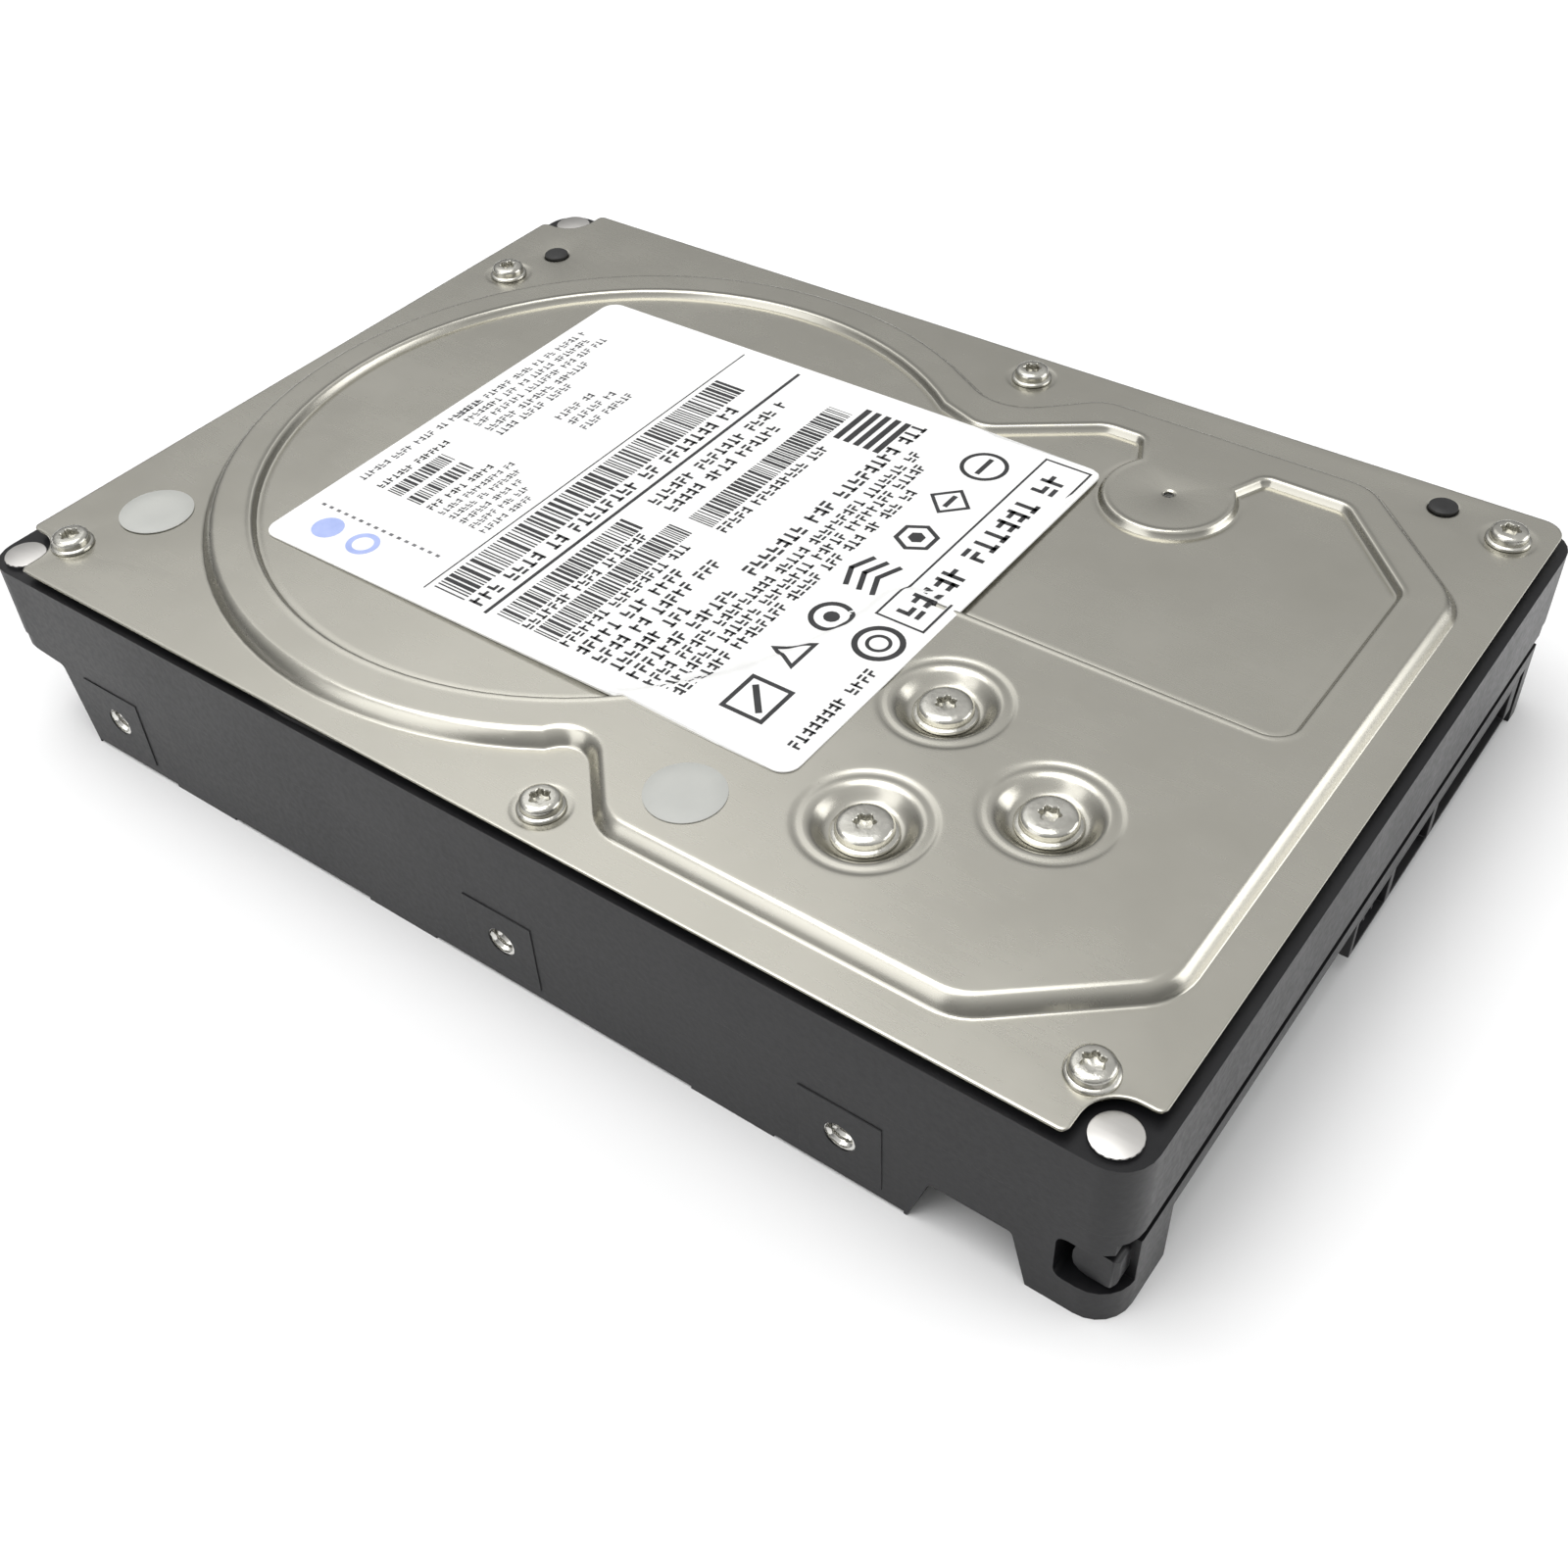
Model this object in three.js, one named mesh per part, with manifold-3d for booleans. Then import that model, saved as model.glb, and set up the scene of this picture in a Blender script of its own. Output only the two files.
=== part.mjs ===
// A 3.5-inch desktop hard disk drive with a serial ATA connector, as an assembly of separate pieces.
// Millimetres. +Z is up through the cover, +Y points away from the connector end, +X to its right.
// The origin is the middle of the underside: the drive stands on its two long rails at z = 0.

import * as THREE from "three";
import { mergeVertices } from "three/addons/utils/BufferGeometryUtils.js";
import Module from "manifold-3d";

const wasm = await Module();
wasm.setup();

// ---------------------------------------------------------------- driving dimensions

const WIDTH = 101.6; // the 3.5-inch form factor's width and length
const LENGTH = 147;
const HALF_W = WIDTH / 2;
const HALF_L = LENGTH / 2;
const FIT_GAP = 0.05; // left between pieces that touch
const ARC_STEP = 15; // degrees of arc per straight side in an outline
const CORNER_STEP = 30; // the same in a rounded corner

const RAIL_INNER = 43.6; // inner face of the long rails
const WALL_TOP = 22.6; // top of the casting's wall
const CHAMBER_FLOOR = 7.0;
const CONNECTOR_FLOOR = 10; // the chamber's floor over the connector
const BOARD_POCKET = 5.0; // roof of the pocket over the circuit board
const UNDERSIDE = 2.0; // the casting's underside beyond the circuit board
const END_LIP = 8; // lower edge of the wall at the connector end
const MOTOR_ISLAND_R = 16.4; // the boss that carries the motor
const STEP_Z = 13.4; // the casting's sides are set in a little below this height
const SIDE_INSET = 0.12;
const CASTING_CORNER_R = 3.8; // the casting's upright corners
const CASTING_ARC_STEP = 15; // degrees of arc per straight side in those corners
const CORNER_SLOT_DEPTH = 3.6; // slots in the near corners, each with a tongue inside
const TONGUE_INSET = 1.1;
const CORNER_SLOT_Z = [4.2, 10.2];
const END_GROOVE_Z = [10.2, 11.6]; // the groove across the wall at the connector end
const PAD_R = 2.35; // bare pads on the casting's corners
const PAD_TOP = 23.1;

const COVER_T = 0.8; // sheet thickness
const RIM_TOP = 24.0; // cover's flat rim
const PLATEAU_TOP = 25.7; // cover's raised middle
const RECESS_TOP = 25.05; // floor of the shallow recess in it
const SLOPE = PLATEAU_TOP - RIM_TOP; // the raised edge slopes at 45 degrees

const SPINDLE = [0, 22.4]; // spindle axis
const PIVOT = [-13.6, -32.3]; // actuator axis
const DISC_R = 47.5;
const DISC_HOLE_R = 12.5;
const DISC_T = 1.27;
const DISC_PITCH = 3.9;
const DISC_Z = 10.4; // underside of the lowest disc
const DISC_COUNT = 3;
const PARK_ANGLE = 21; // direction of the parked arms, in degrees from +X
const HEAD_R = 52; // from the pivot to the heads

const BOARD_Z = 1.4; // underside of the circuit board
const BOARD_T = 1.0;

// Side screw holes: 28.5 mm from the connector end, then 41.6 and 60 mm further on.
const SIDE_HOLES = [-45.0, -3.4, 56.6];
const SIDE_HOLE_Z = 6.35;
// Bottom screw holes: 41.28 mm from the connector end, then 44.45 and 31.75 mm further on.
const BOTTOM_HOLES = [-32.22, 12.23, 43.98];
const BOTTOM_HOLE_X = 47.625;
const MOUNT_HOLE_R = 1.75; // 6-32 UNC
const MOUNT_HOLE_DEPTH = 3.8;

// Screws that hold the cover to the casting's wall, then those in the cover's dimples.
const RIM_SCREWS = [
  [-43.9, 65.6],
  [30.3, 66.4],
  [-46.0, -7.6],
  [45.6, -7.4],
  [-43.9, -65.5],
  [44.6, -67.6],
];
const DIMPLE_SCREWS = [[-31.8, -35.0], PIVOT, [-21.4, -48.5]];
const DIMPLE_DEPTH = 2.4;
const DIMPLE_R = 6.3;
const DIMPLE_FLOOR_R = 3.4;
const PLUG_HOLES = [
  [37.9, 64.3],
  [46.5, -59.6],
];
const CORNER_PADS = [
  [-47.6, 69.8],
  [47.6, 69.8],
  [-47.6, -69.8],
];
const BREATHER = [30.1, -34.0];
const SCREW_R = 1.2; // shank
const SCREW_TIP_Z = 14; // tips of the rim's screws
const DIMPLE_SCREW_TIP_Z = 19.6;
const PLUG_R = 1.5;
const BORE_GAP = 0.15; // between a screw's shank and its hole
const LABEL = [-31.2, -25.9, 30.3, 47.7]; // its low and high corners
const SEALS = [
  { name: "servo_hole_seal_rim", place: [-34.4, 62.4], radius: 4.3, top: RIM_TOP },
  { name: "servo_hole_seal_middle", place: [-38.2, -19.0], radius: 4.1, top: PLATEAU_TOP },
];

const BOARD_END = 6; // the circuit board's far edge
const MOTOR_R = 14; // motor base
const BOARD_SCREWS = [
  [-38, 1],
  [38, 1],
  [-38, -63],
  [38, -30],
];

// Chips: name, centre, width, length and thickness.
const CHIPS = [
  ["controller_chip", [-2, -30], 16, 16, 1.2],
  ["motor_driver_chip", [-24, -24], 9, 9, 1.0],
];

const CONNECTOR_X = [-1.6, 44.0]; // the serial ATA plug's low and high side
const CONNECTOR_BACK = -63.4;
const MOUTH = -HALF_L + 0.2; // the connector's open face
const TONGUE_LOW = 4.0; // underside of its contact tongues
const SIGNAL_PINS = { first: 11.9, pitch: 0.9, count: 7 };
const POWER_PINS = { first: 22.2, pitch: 1.2, count: 15 };
const FLEX_PORT = [8, -58, 26, -49]; // the hole under the flexible circuit's connector
const LATCH_PIN = [-41.6, -18.0];
const LATCH_LENGTH = 11.4;
const LATCH_REST = -88; // direction of the open latch from its pin, in degrees from +X
const ARM_T = 1.1;
const ARM_TIP = 38; // the arms' length from the pivot
const COIL_Z = [12.9, 15.8];
const YOKE_GAP = [11.9, 16.8]; // between the two magnets
const YOKE_POSTS = [
  [-42.6, -42.6],
  [-34.5, -58.6],
  [-15.6, -56.6],
];

// ---------------------------------------------------------------- outlines

const degrees = (a) => (a * Math.PI) / 180;

function polar([cx, cy], radius, angle) {
  return [cx + radius * Math.cos(degrees(angle)), cy + radius * Math.sin(degrees(angle))];
}

// Points of an arc, as corners with no rounding.
function arc(centre, radius, from, to, step = ARC_STEP) {
  const sides = Math.max(1, Math.ceil(Math.abs(to - from) / step));
  const points = [];
  for (let i = 0; i <= sides; i++) {
    points.push([...polar(centre, radius, from + ((to - from) * i) / sides), 0]);
  }
  return points;
}

// A closed outline from corners [x, y, rounding radius].
function outline(corners, step = CORNER_STEP) {
  const points = [];
  corners.forEach(([x, y, radius], i) => {
    const corner = new THREE.Vector2(x, y);
    if (!radius) {
      points.push(corner);
      return;
    }
    const [px, py] = corners.at(i - 1);
    const [nx, ny] = corners[(i + 1) % corners.length];
    const back = new THREE.Vector2(px - x, py - y).normalize();
    const on = new THREE.Vector2(nx - x, ny - y).normalize();
    const half = Math.acos(THREE.MathUtils.clamp(back.dot(on), -1, 1)) / 2;
    const middle = back.clone().add(on).normalize();
    const centre = corner.clone().addScaledVector(middle, radius / Math.sin(half));
    const start = corner.clone().addScaledVector(back, radius / Math.tan(half)).sub(centre);
    const turn = Math.sign(back.cross(on)) * -(Math.PI - 2 * half);
    const sides = Math.max(1, Math.ceil(Math.abs(turn) / degrees(step)));
    for (let k = 0; k <= sides; k++) {
      const spoke = start.clone().rotateAround(new THREE.Vector2(), (turn * k) / sides);
      points.push(centre.clone().add(spoke));
    }
  });
  return points;
}

const rectangle = (x0, y0, x1, y1, r = 0, step = CORNER_STEP) =>
  outline([[x0, y0, r], [x1, y0, r], [x1, y1, r], [x0, y1, r]], step);

// The foot of the cover's raised middle: a round over the discs, a waist, and a box over the actuator.
const raisedOutline = outline([
  [-33.5, -68.3, 4],
  [29.7, -68.3, 4],
  [44.8, -52.7, 4],
  [44.8, -18.2, 5],
  [36.2, -9.0, 5],
  ...arc(SPINDLE, 47, -32, 212, 7),
  [-36.3, -5.0, 3],
  [-45.9, -14.0, 4],
  [-45.9, -53.5, 4],
]);

// The recess in the raised middle, grown or shrunk by an amount all round.
function recessOutline(grow) {
  return outline([
    [-0.9 - grow, -62.6 - grow, 3],
    [27.3 + grow / 2, -62.6 - grow, 2],
    [38.8 + grow, -51.5 - grow / 2, 2],
    [38.8 + grow, -21.5, 4],
    [30.3 + grow, -9.2, 4],
    ...arc(SPINDLE, 41.2 + grow, -38, 262, 7.5),
    [-0.9 - grow, -18.6 - grow, 2],
  ]);
}

// The chamber inside the casting.
const chamberOutline = outline([
  [-33.4, -69.0, 3],
  [29.6, -69.0, 3],
  [45.4, -53.1, 3],
  [45.4, -14.6, 3],
  [41.0, -7.4, 3],
  ...arc(SPINDLE, 49, -27, 207, 8),
  [-41.0, -7.4, 3],
  [-45.4, -14.6, 3],
  [-45.4, -54.0, 3],
]);

// The cover's own edge, notched at three corners around the casting's pads.
function coverOutline() {
  const [x, y] = [50.35, 72.3];
  const [near, far] = [44.4, 66.7];
  const notch = 3.4;
  return outline([
    [-near, -y, 0.6],
    [x, -y, 2.6],
    [x, far, 0.6],
    [near, far, notch],
    [near, y, 0.6],
    [-near, y, 0.6],
    [-near, far, notch],
    [-x, far, 0.6],
    [-x, -far, 0.6],
    [-near, -far, notch],
  ]);
}

// ---------------------------------------------------------------- solids

function solid(geometry) {
  const bare = geometry.index ? geometry.toNonIndexed() : geometry.clone();
  bare.deleteAttribute("normal");
  bare.deleteAttribute("uv");
  const merged = mergeVertices(bare, 1e-4);
  const kept = [];
  const index = merged.index.array;
  for (let i = 0; i < index.length; i += 3) {
    const [a, b, c] = index.slice(i, i + 3);
    if (a !== b && b !== c && c !== a) kept.push(a, b, c);
  }
  return new wasm.Manifold(
    new wasm.Mesh({
      numProp: 3,
      vertProperties: merged.attributes.position.array,
      triVerts: new Uint32Array(kept),
    }),
  );
}

function geometryOf(manifold) {
  const mesh = manifold.getMesh();
  const geometry = new THREE.BufferGeometry();
  geometry.setAttribute("position", new THREE.BufferAttribute(mesh.vertProperties, 3));
  geometry.setIndex(new THREE.BufferAttribute(mesh.triVerts, 1));
  geometry.computeVertexNormals();
  return geometry;
}

// An outline extruded from z0 to z1.
function slab(points, z0, z1) {
  const shape = new THREE.Shape(points);
  const geometry = new THREE.ExtrudeGeometry(shape, { depth: z1 - z0, bevelEnabled: false });
  return solid(geometry.translate(0, 0, z0));
}

// An outline, shrunk if need be, extruded from z0 to z1 with its upper edge sloped at 45 degrees.
function slopedSlab(points, z0, z1, run, shrink = 0) {
  const geometry = new THREE.ExtrudeGeometry(new THREE.Shape(points), {
    depth: z1 - z0,
    bevelThickness: run,
    bevelSize: run,
    bevelOffset: -run - shrink,
    bevelSegments: 1,
  });
  geometry.translate(0, 0, z0 - run);
  return solid(geometry).intersect(block(-HALF_W, -HALF_L, z0, HALF_W, HALF_L, z1));
}

// A profile in the YZ plane, drawn as [y, z] corners, extruded along X from x0 to x1.
function bar(corners, x0, x1) {
  const geometry = new THREE.ExtrudeGeometry(new THREE.Shape(outline(corners)), {
    depth: x1 - x0,
    bevelEnabled: false,
  });
  // Maps the drawing's x to Y, its y to Z and its depth to X.
  geometry.applyMatrix4(new THREE.Matrix4().set(0, 0, 1, x0, 1, 0, 0, 0, 0, 1, 0, 0, 0, 0, 0, 1));
  return solid(geometry);
}

function block(x0, y0, z0, x1, y1, z1) {
  const geometry = new THREE.BoxGeometry(x1 - x0, y1 - y0, z1 - z0);
  return solid(geometry.translate((x0 + x1) / 2, (y0 + y1) / 2, (z0 + z1) / 2));
}

// A profile of [radius, z] points turned about a vertical axis at a centre.
function turned(profile, centre = [0, 0], sides = 20) {
  const points = profile.map(([r, z]) => new THREE.Vector2(r, z));
  const geometry = new THREE.LatheGeometry(points, sides);
  geometry.rotateX(Math.PI / 2);
  geometry.translate(centre[0], centre[1], 0);
  return solid(geometry);
}

// A ring of rectangular section.
const ring = (inner, outer, z0, z1, centre, sides) =>
  turned([[inner, z0], [outer, z0], [outer, z1], [inner, z1], [inner, z0]], centre, sides);

// A cylinder.
const post = (radius, z0, z1, centre, sides) =>
  turned([[0, z0], [radius, z0], [radius, z1], [0, z1]], centre, sides);

// The hole for a round pin or shank, a little wider than it.
const bore = (radius, z0, z1, centre) => post(radius + BORE_GAP, z0, z1, centre, 12);

const join = (solids) => solids.reduce((all, next) => all.add(next));
const cut = (body, tools) => tools.reduce((left, tool) => left.subtract(tool), body);

// ---------------------------------------------------------------- the assembly's helpers

const drive = new THREE.Group();
const spindle = new THREE.Group();
spindle.position.set(SPINDLE[0], SPINDLE[1], 0);
const actuator = new THREE.Group();
actuator.position.set(PIVOT[0], PIVOT[1], 0);
actuator.rotation.z = degrees(PARK_ANGLE);
drive.add(spindle, actuator);

const finish = (color, roughness, metalness) =>
  new THREE.MeshStandardMaterial({ color, roughness, metalness });
const materials = {
  castingPaint: finish(0x2b2b2d, 0.45, 0.3),
  coverSteel: finish(0xaaa89f, 0.38, 1),
  screwSteel: finish(0xc9c8c2, 0.25, 1),
  gasketRubber: finish(0x161616, 0.8, 0),
  labelPaper: finish(0xfafaf8, 0.6, 0),
  sealFilm: finish(0xc3c5c0, 0.5, 0.1),
  boardGreen: finish(0x1f5a36, 0.5, 0),
  chipPlastic: finish(0x1a1a1c, 0.6, 0),
  connectorPlastic: finish(0x141416, 0.45, 0),
  contactGold: finish(0xd9b45a, 0.3, 1),
  aluminium: finish(0xb9bbbd, 0.35, 1),
  discMirror: finish(0xd6d8da, 0.05, 1),
  magnetNickel: finish(0xb4b5b6, 0.3, 1),
  coilCopper: finish(0xb0622d, 0.4, 1),
  rampPlastic: finish(0xd8d2c0, 0.5, 0),
  filterFelt: finish(0xeeeeea, 0.9, 0),
  flexAmber: finish(0xb56a22, 0.4, 0),
};

function add(name, made, material, group = drive) {
  const mesh = new THREE.Mesh(geometryOf(made), material);
  mesh.name = name;
  group.add(mesh);
  return mesh;
}

// ---------------------------------------------------------------- casting

function castingBody() {
  const tier = (inset, z0, z1) => {
    const [x, y] = [HALF_W - inset, HALF_L - inset];
    return slab(rectangle(-x, -y, x, y, CASTING_CORNER_R, CASTING_ARC_STEP), z0, z1);
  };
  const upper = tier(0, STEP_Z, WALL_TOP);
  const lower = tier(SIDE_INSET, 0, STEP_Z);
  const pads = CORNER_PADS.map((place) => post(PAD_R, WALL_TOP - 1, PAD_TOP, place, 20));
  const sidePads = [-1, 1].flatMap((side) =>
    SIDE_HOLES.map((y) => {
      const x = side * (HALF_W - 0.5);
      return block(x - 0.5, y - 4.6, 1.8, x + 0.5, y + 4.6, 10.9);
    }),
  );
  return join([upper, lower, ...pads, ...sidePads]);
}

// Cut-outs in the long rails at the far corners, near the connector end, and the slots in the near corners.
function railCuts() {
  const past = HALF_L + 1;
  const [slotLow, slotHigh] = CORNER_SLOT_Z;
  const farCorner = [[63, -1, 0], [65, 11, 0.6], [70, 11.5, 0], [past, 11.5, 0], [past, -1, 0]];
  const nearNotch = [[-52, -1, 0], [-54.5, 6.8, 0.6], [-63, 6.8, 0.6], [-65, -1, 0]];
  const slot = [[-67.2, slotLow, 1], [-67.2, slotHigh, 1], [-past, slotHigh, 0], [-past, slotLow, 0]];
  const [low, high] = [slotLow + 0.9, slotHigh - 0.9];
  const tongue = [[-68.4, low, 1.6], [-68.4, high, 1.6], [-72.6, high, 0.8], [-72.6, low, 0.8]];
  return [-1, 1].flatMap((side) => {
    // A stretch across the rail, between two distances out from the middle.
    const run = (near, far) => [Math.min(side * near, side * far), Math.max(side * near, side * far)];
    const rail = run(RAIL_INNER, HALF_W + 1);
    const slotBottom = HALF_W - CORNER_SLOT_DEPTH;
    const around = bar(slot, ...run(slotBottom, HALF_W + 1));
    const kept = bar(tongue, ...run(slotBottom - 1, HALF_W - TONGUE_INSET));
    return [bar(farCorner, ...rail), bar(nearNotch, ...rail), around.subtract(kept)];
  });
}

// The rails stand on pads around the bottom screw holes and on their ends.
function railUndercuts() {
  const padHalf = 5;
  const stops = [-52, ...BOTTOM_HOLES.flatMap((y) => [y - padHalf, y + padHalf]), 63];
  const cuts = [];
  for (let i = 0; i < stops.length; i += 2) {
    cuts.push(block(-HALF_W - 1, stops[i], -1, HALF_W + 1, stops[i + 1], 0.4));
  }
  return cuts;
}

function mountingHoles() {
  const side = SIDE_HOLES.flatMap((y) =>
    [-1, 1].map((end) => {
      const geometry = new THREE.CylinderGeometry(MOUNT_HOLE_R, MOUNT_HOLE_R, MOUNT_HOLE_DEPTH * 2, 16);
      return solid(geometry.rotateZ(Math.PI / 2).translate(end * HALF_W, y, SIDE_HOLE_Z));
    }),
  );
  const bottom = BOTTOM_HOLES.flatMap((y) =>
    [-1, 1].map((end) => post(MOUNT_HOLE_R, -1, MOUNT_HOLE_DEPTH, [end * BOTTOM_HOLE_X, y], 16)),
  );
  return [...side, ...bottom];
}

// The chamber's floor steps up over the connector.
function chamberSpace() {
  const step = block(CONNECTOR_X[0] - 3, -HALF_L, 0, HALF_W, CONNECTOR_BACK + 2, CONNECTOR_FLOOR);
  return slab(chamberOutline, CHAMBER_FLOOR, WALL_TOP + 5).subtract(step);
}

function castingPockets() {
  const boardSpace = rectangle(-RAIL_INNER, -HALF_L + 3.6, RAIL_INNER, BOARD_END + 1.2, 2);
  const motorIsland = post(MOTOR_ISLAND_R, UNDERSIDE, BOARD_POCKET + 1, SPINDLE, 32);
  const rearPocket = slab(
    outline([
      [-RAIL_INNER, BOARD_END, 0],
      [RAIL_INNER, BOARD_END, 0],
      [RAIL_INNER, 55, 3],
      [26, HALF_L - 6, 3],
      [-26, HALF_L - 6, 3],
      [-RAIL_INNER, 55, 3],
    ]),
    -1,
    UNDERSIDE,
  );
  const outside = -HALF_L - 1;
  const [plugLow, plugHigh] = [CONNECTOR_X[0] - 1, CONNECTOR_X[1] + 1];
  const lip = block(-41, outside, -1, plugHigh, -HALF_L + 4, END_LIP);
  const connector = block(plugLow, outside, -1, plugHigh, CONNECTOR_BACK + 1, END_LIP);
  const [grooveLow, grooveHigh] = END_GROOVE_Z;
  const groove = block(-HALF_W - 1, outside, grooveLow, HALF_W + 1, -HALF_L + 1.3, grooveHigh);
  const boardPocket = slab(boardSpace, -1, BOARD_POCKET).subtract(motorIsland);
  return [boardPocket, rearPocket, lip, connector, groove];
}

function baseCasting() {
  const motorBore = post(MOTOR_R + 0.2, -1, CHAMBER_FLOOR + 1, SPINDLE, 24);
  const screwBores = RIM_SCREWS.map((place) => bore(SCREW_R, SCREW_TIP_Z - 1, WALL_TOP + 1, place));
  const plugBores = PLUG_HOLES.map((place) => bore(PLUG_R, 20, WALL_TOP + 1, place));
  const flexPort = slab(rectangle(...FLEX_PORT, 1), 0, CONNECTOR_FLOOR);
  const pinBores = YOKE_POSTS.map((place) => post(1.05, 5.9, CHAMBER_FLOOR + 1, place, 10));
  const latchPin = post(0.95, CHAMBER_FLOOR - 1, 16.2, LATCH_PIN, 12)
    .add(post(2.2, CHAMBER_FLOOR - 1, 13.1, LATCH_PIN, 16));
  return cut(castingBody(), [
    chamberSpace(),
    ...castingPockets(),
    ...railCuts(),
    ...railUndercuts(),
    ...mountingHoles(),
    ...screwBores,
    ...plugBores,
    ...pinBores,
    motorBore,
    flexPort,
  ]).add(latchPin);
}

// ---------------------------------------------------------------- cover

function dimple(place, grow) {
  const floor = PLATEAU_TOP - DIMPLE_DEPTH - grow;
  const floorR = DIMPLE_FLOOR_R + grow * 0.6;
  const brim = grow ? PLATEAU_TOP - COVER_T / 2 : PLATEAU_TOP + 0.2;
  const brimR = DIMPLE_R + (grow ? grow * 0.6 : 0.2);
  return turned([[0, floor], [floorR, floor], [brimR, brim], [0, brim]], place, 20);
}

// The island of full height around the breather hole, joined to the panel's right edge.
function breatherIsland(z0, z1) {
  const [x, y] = BREATHER;
  const bridge = outline([[x, y - 4, 0], [41, y - 6.5, 0], [41, y + 6.5, 0], [x, y + 4, 0]]);
  return post(7.3, z0, z1, BREATHER, 24).add(slab(bridge, z0, z1));
}

function topCover() {
  const under = RIM_TOP - COVER_T;
  const shell = slab(coverOutline(), under, RIM_TOP)
    .add(slopedSlab(raisedOutline, under, PLATEAU_TOP, SLOPE))
    .subtract(slopedSlab(raisedOutline, under - 1, PLATEAU_TOP - COVER_T, SLOPE, 0.4));
  const recessUnder = slab(recessOutline(0.5), RECESS_TOP - COVER_T, PLATEAU_TOP - COVER_T / 2)
    .subtract(breatherIsland(RECESS_TOP - COVER_T - 1, PLATEAU_TOP - COVER_T));
  const recess = slab(recessOutline(0), RECESS_TOP, PLATEAU_TOP + 1)
    .subtract(breatherIsland(RECESS_TOP - 1, PLATEAU_TOP));
  const dimpleUnders = DIMPLE_SCREWS.map((place) => dimple(place, COVER_T));
  const dimples = DIMPLE_SCREWS.map((place) => dimple(place, 0));
  const screwHoles = [...RIM_SCREWS, ...DIMPLE_SCREWS].map((place) =>
    bore(SCREW_R, 18, PLATEAU_TOP + 1, place),
  );
  const plugHoles = PLUG_HOLES.map((place) => bore(PLUG_R, 20, PLATEAU_TOP, place));
  const servoHoles = SEALS.map(({ place }) => post(2.2, 20, PLATEAU_TOP, place, 16));
  const breatherHole = post(0.6, 20, PLATEAU_TOP + 1, BREATHER, 10);
  return cut(join([shell, recessUnder, ...dimpleUnders]), [
    recess,
    ...dimples,
    ...screwHoles,
    ...plugHoles,
    ...servoHoles,
    breatherHole,
  ]);
}

function coverGasket() {
  const inner = slab(chamberOutline, WALL_TOP - 1, RIM_TOP);
  const outer = slab(
    outline([
      [-39.0, -70.6, 4],
      [33.0, -70.6, 4],
      [47.2, -55.5, 4],
      [47.2, -12.6, 3],
      [43.0, -6.0, 3],
      ...arc(SPINDLE, 50.2, -22, 202, 8),
      [-43.0, -6.0, 3],
      [-47.2, -12.6, 3],
      [-47.2, -58.0, 4],
    ]),
    WALL_TOP + FIT_GAP,
    RIM_TOP - COVER_T - FIT_GAP,
  );
  const holes = [...RIM_SCREWS, ...PLUG_HOLES, ...CORNER_PADS].map((place) =>
    post(2.6, WALL_TOP - 1, RIM_TOP, place, 12),
  );
  return cut(outer, [inner, ...holes]);
}

// The outline of a six-lobed driver recess.
function sixLobes(place, radius) {
  const corners = [];
  for (let i = 0; i < 12; i++) {
    corners.push([...polar(place, i % 2 ? radius * 0.68 : radius, i * 30), 0]);
  }
  return outline(corners);
}

// A pan-head screw with a six-lobed recess; its seat is the height under its head.
function screw(place, seat, tip) {
  const head = seat + 1.55;
  const body = turned(
    [[0, tip], [SCREW_R, tip], [SCREW_R, seat], [2.25, seat], [2.35, seat + 0.9], [1.9, head], [0, head]],
    place,
    16,
  );
  return body.subtract(slab(sixLobes(place, 1.1), head - 0.9, head + 1));
}

function addCoverScrews() {
  RIM_SCREWS.forEach((place, i) => {
    add(`cover_screw_${i + 1}`, screw(place, RIM_TOP + FIT_GAP, SCREW_TIP_Z), materials.screwSteel);
  });
  DIMPLE_SCREWS.forEach((place, i) => {
    const seat = PLATEAU_TOP - DIMPLE_DEPTH + FIT_GAP;
    add(`dimple_screw_${i + 1}`, screw(place, seat, DIMPLE_SCREW_TIP_Z), materials.screwSteel);
  });
}

// The label follows the shallow step between the recess and the raised middle.
function label() {
  const [x0, y0, x1, y1] = LABEL;
  const sheet = 0.15;
  const whole = slab(rectangle(x0, y0, x1, y1, 2), RECESS_TOP + FIT_GAP, PLATEAU_TOP + FIT_GAP + sheet);
  const above = slab(recessOutline(-0.3), RECESS_TOP + FIT_GAP + sheet, PLATEAU_TOP + 1);
  const below = slab(rectangle(x0 - 1, y0 - 1, x1 + 1, y1 + 1), RECESS_TOP - 1, PLATEAU_TOP + FIT_GAP)
    .subtract(slab(recessOutline(-FIT_GAP), RECESS_TOP - 2, PLATEAU_TOP + 1));
  return cut(whole, [above, below]);
}

function addCoverTrim() {
  add("label", label(), materials.labelPaper);
  SEALS.forEach(({ name, place, radius, top }) => {
    add(name, post(radius, top + FIT_GAP, top + 0.2, place, 24), materials.sealFilm);
  });
  PLUG_HOLES.forEach((place, i) => {
    const [foot, edge, top] = [21, RIM_TOP + 0.1, RIM_TOP + 0.5];
    const profile = [[0, foot], [PLUG_R, foot], [PLUG_R, edge], [PLUG_R - 0.4, top], [0, top]];
    add(`hole_plug_${i + 1}`, turned(profile, place, 14), materials.gasketRubber);
  });
}

// ---------------------------------------------------------------- spindle motor and discs

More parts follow.
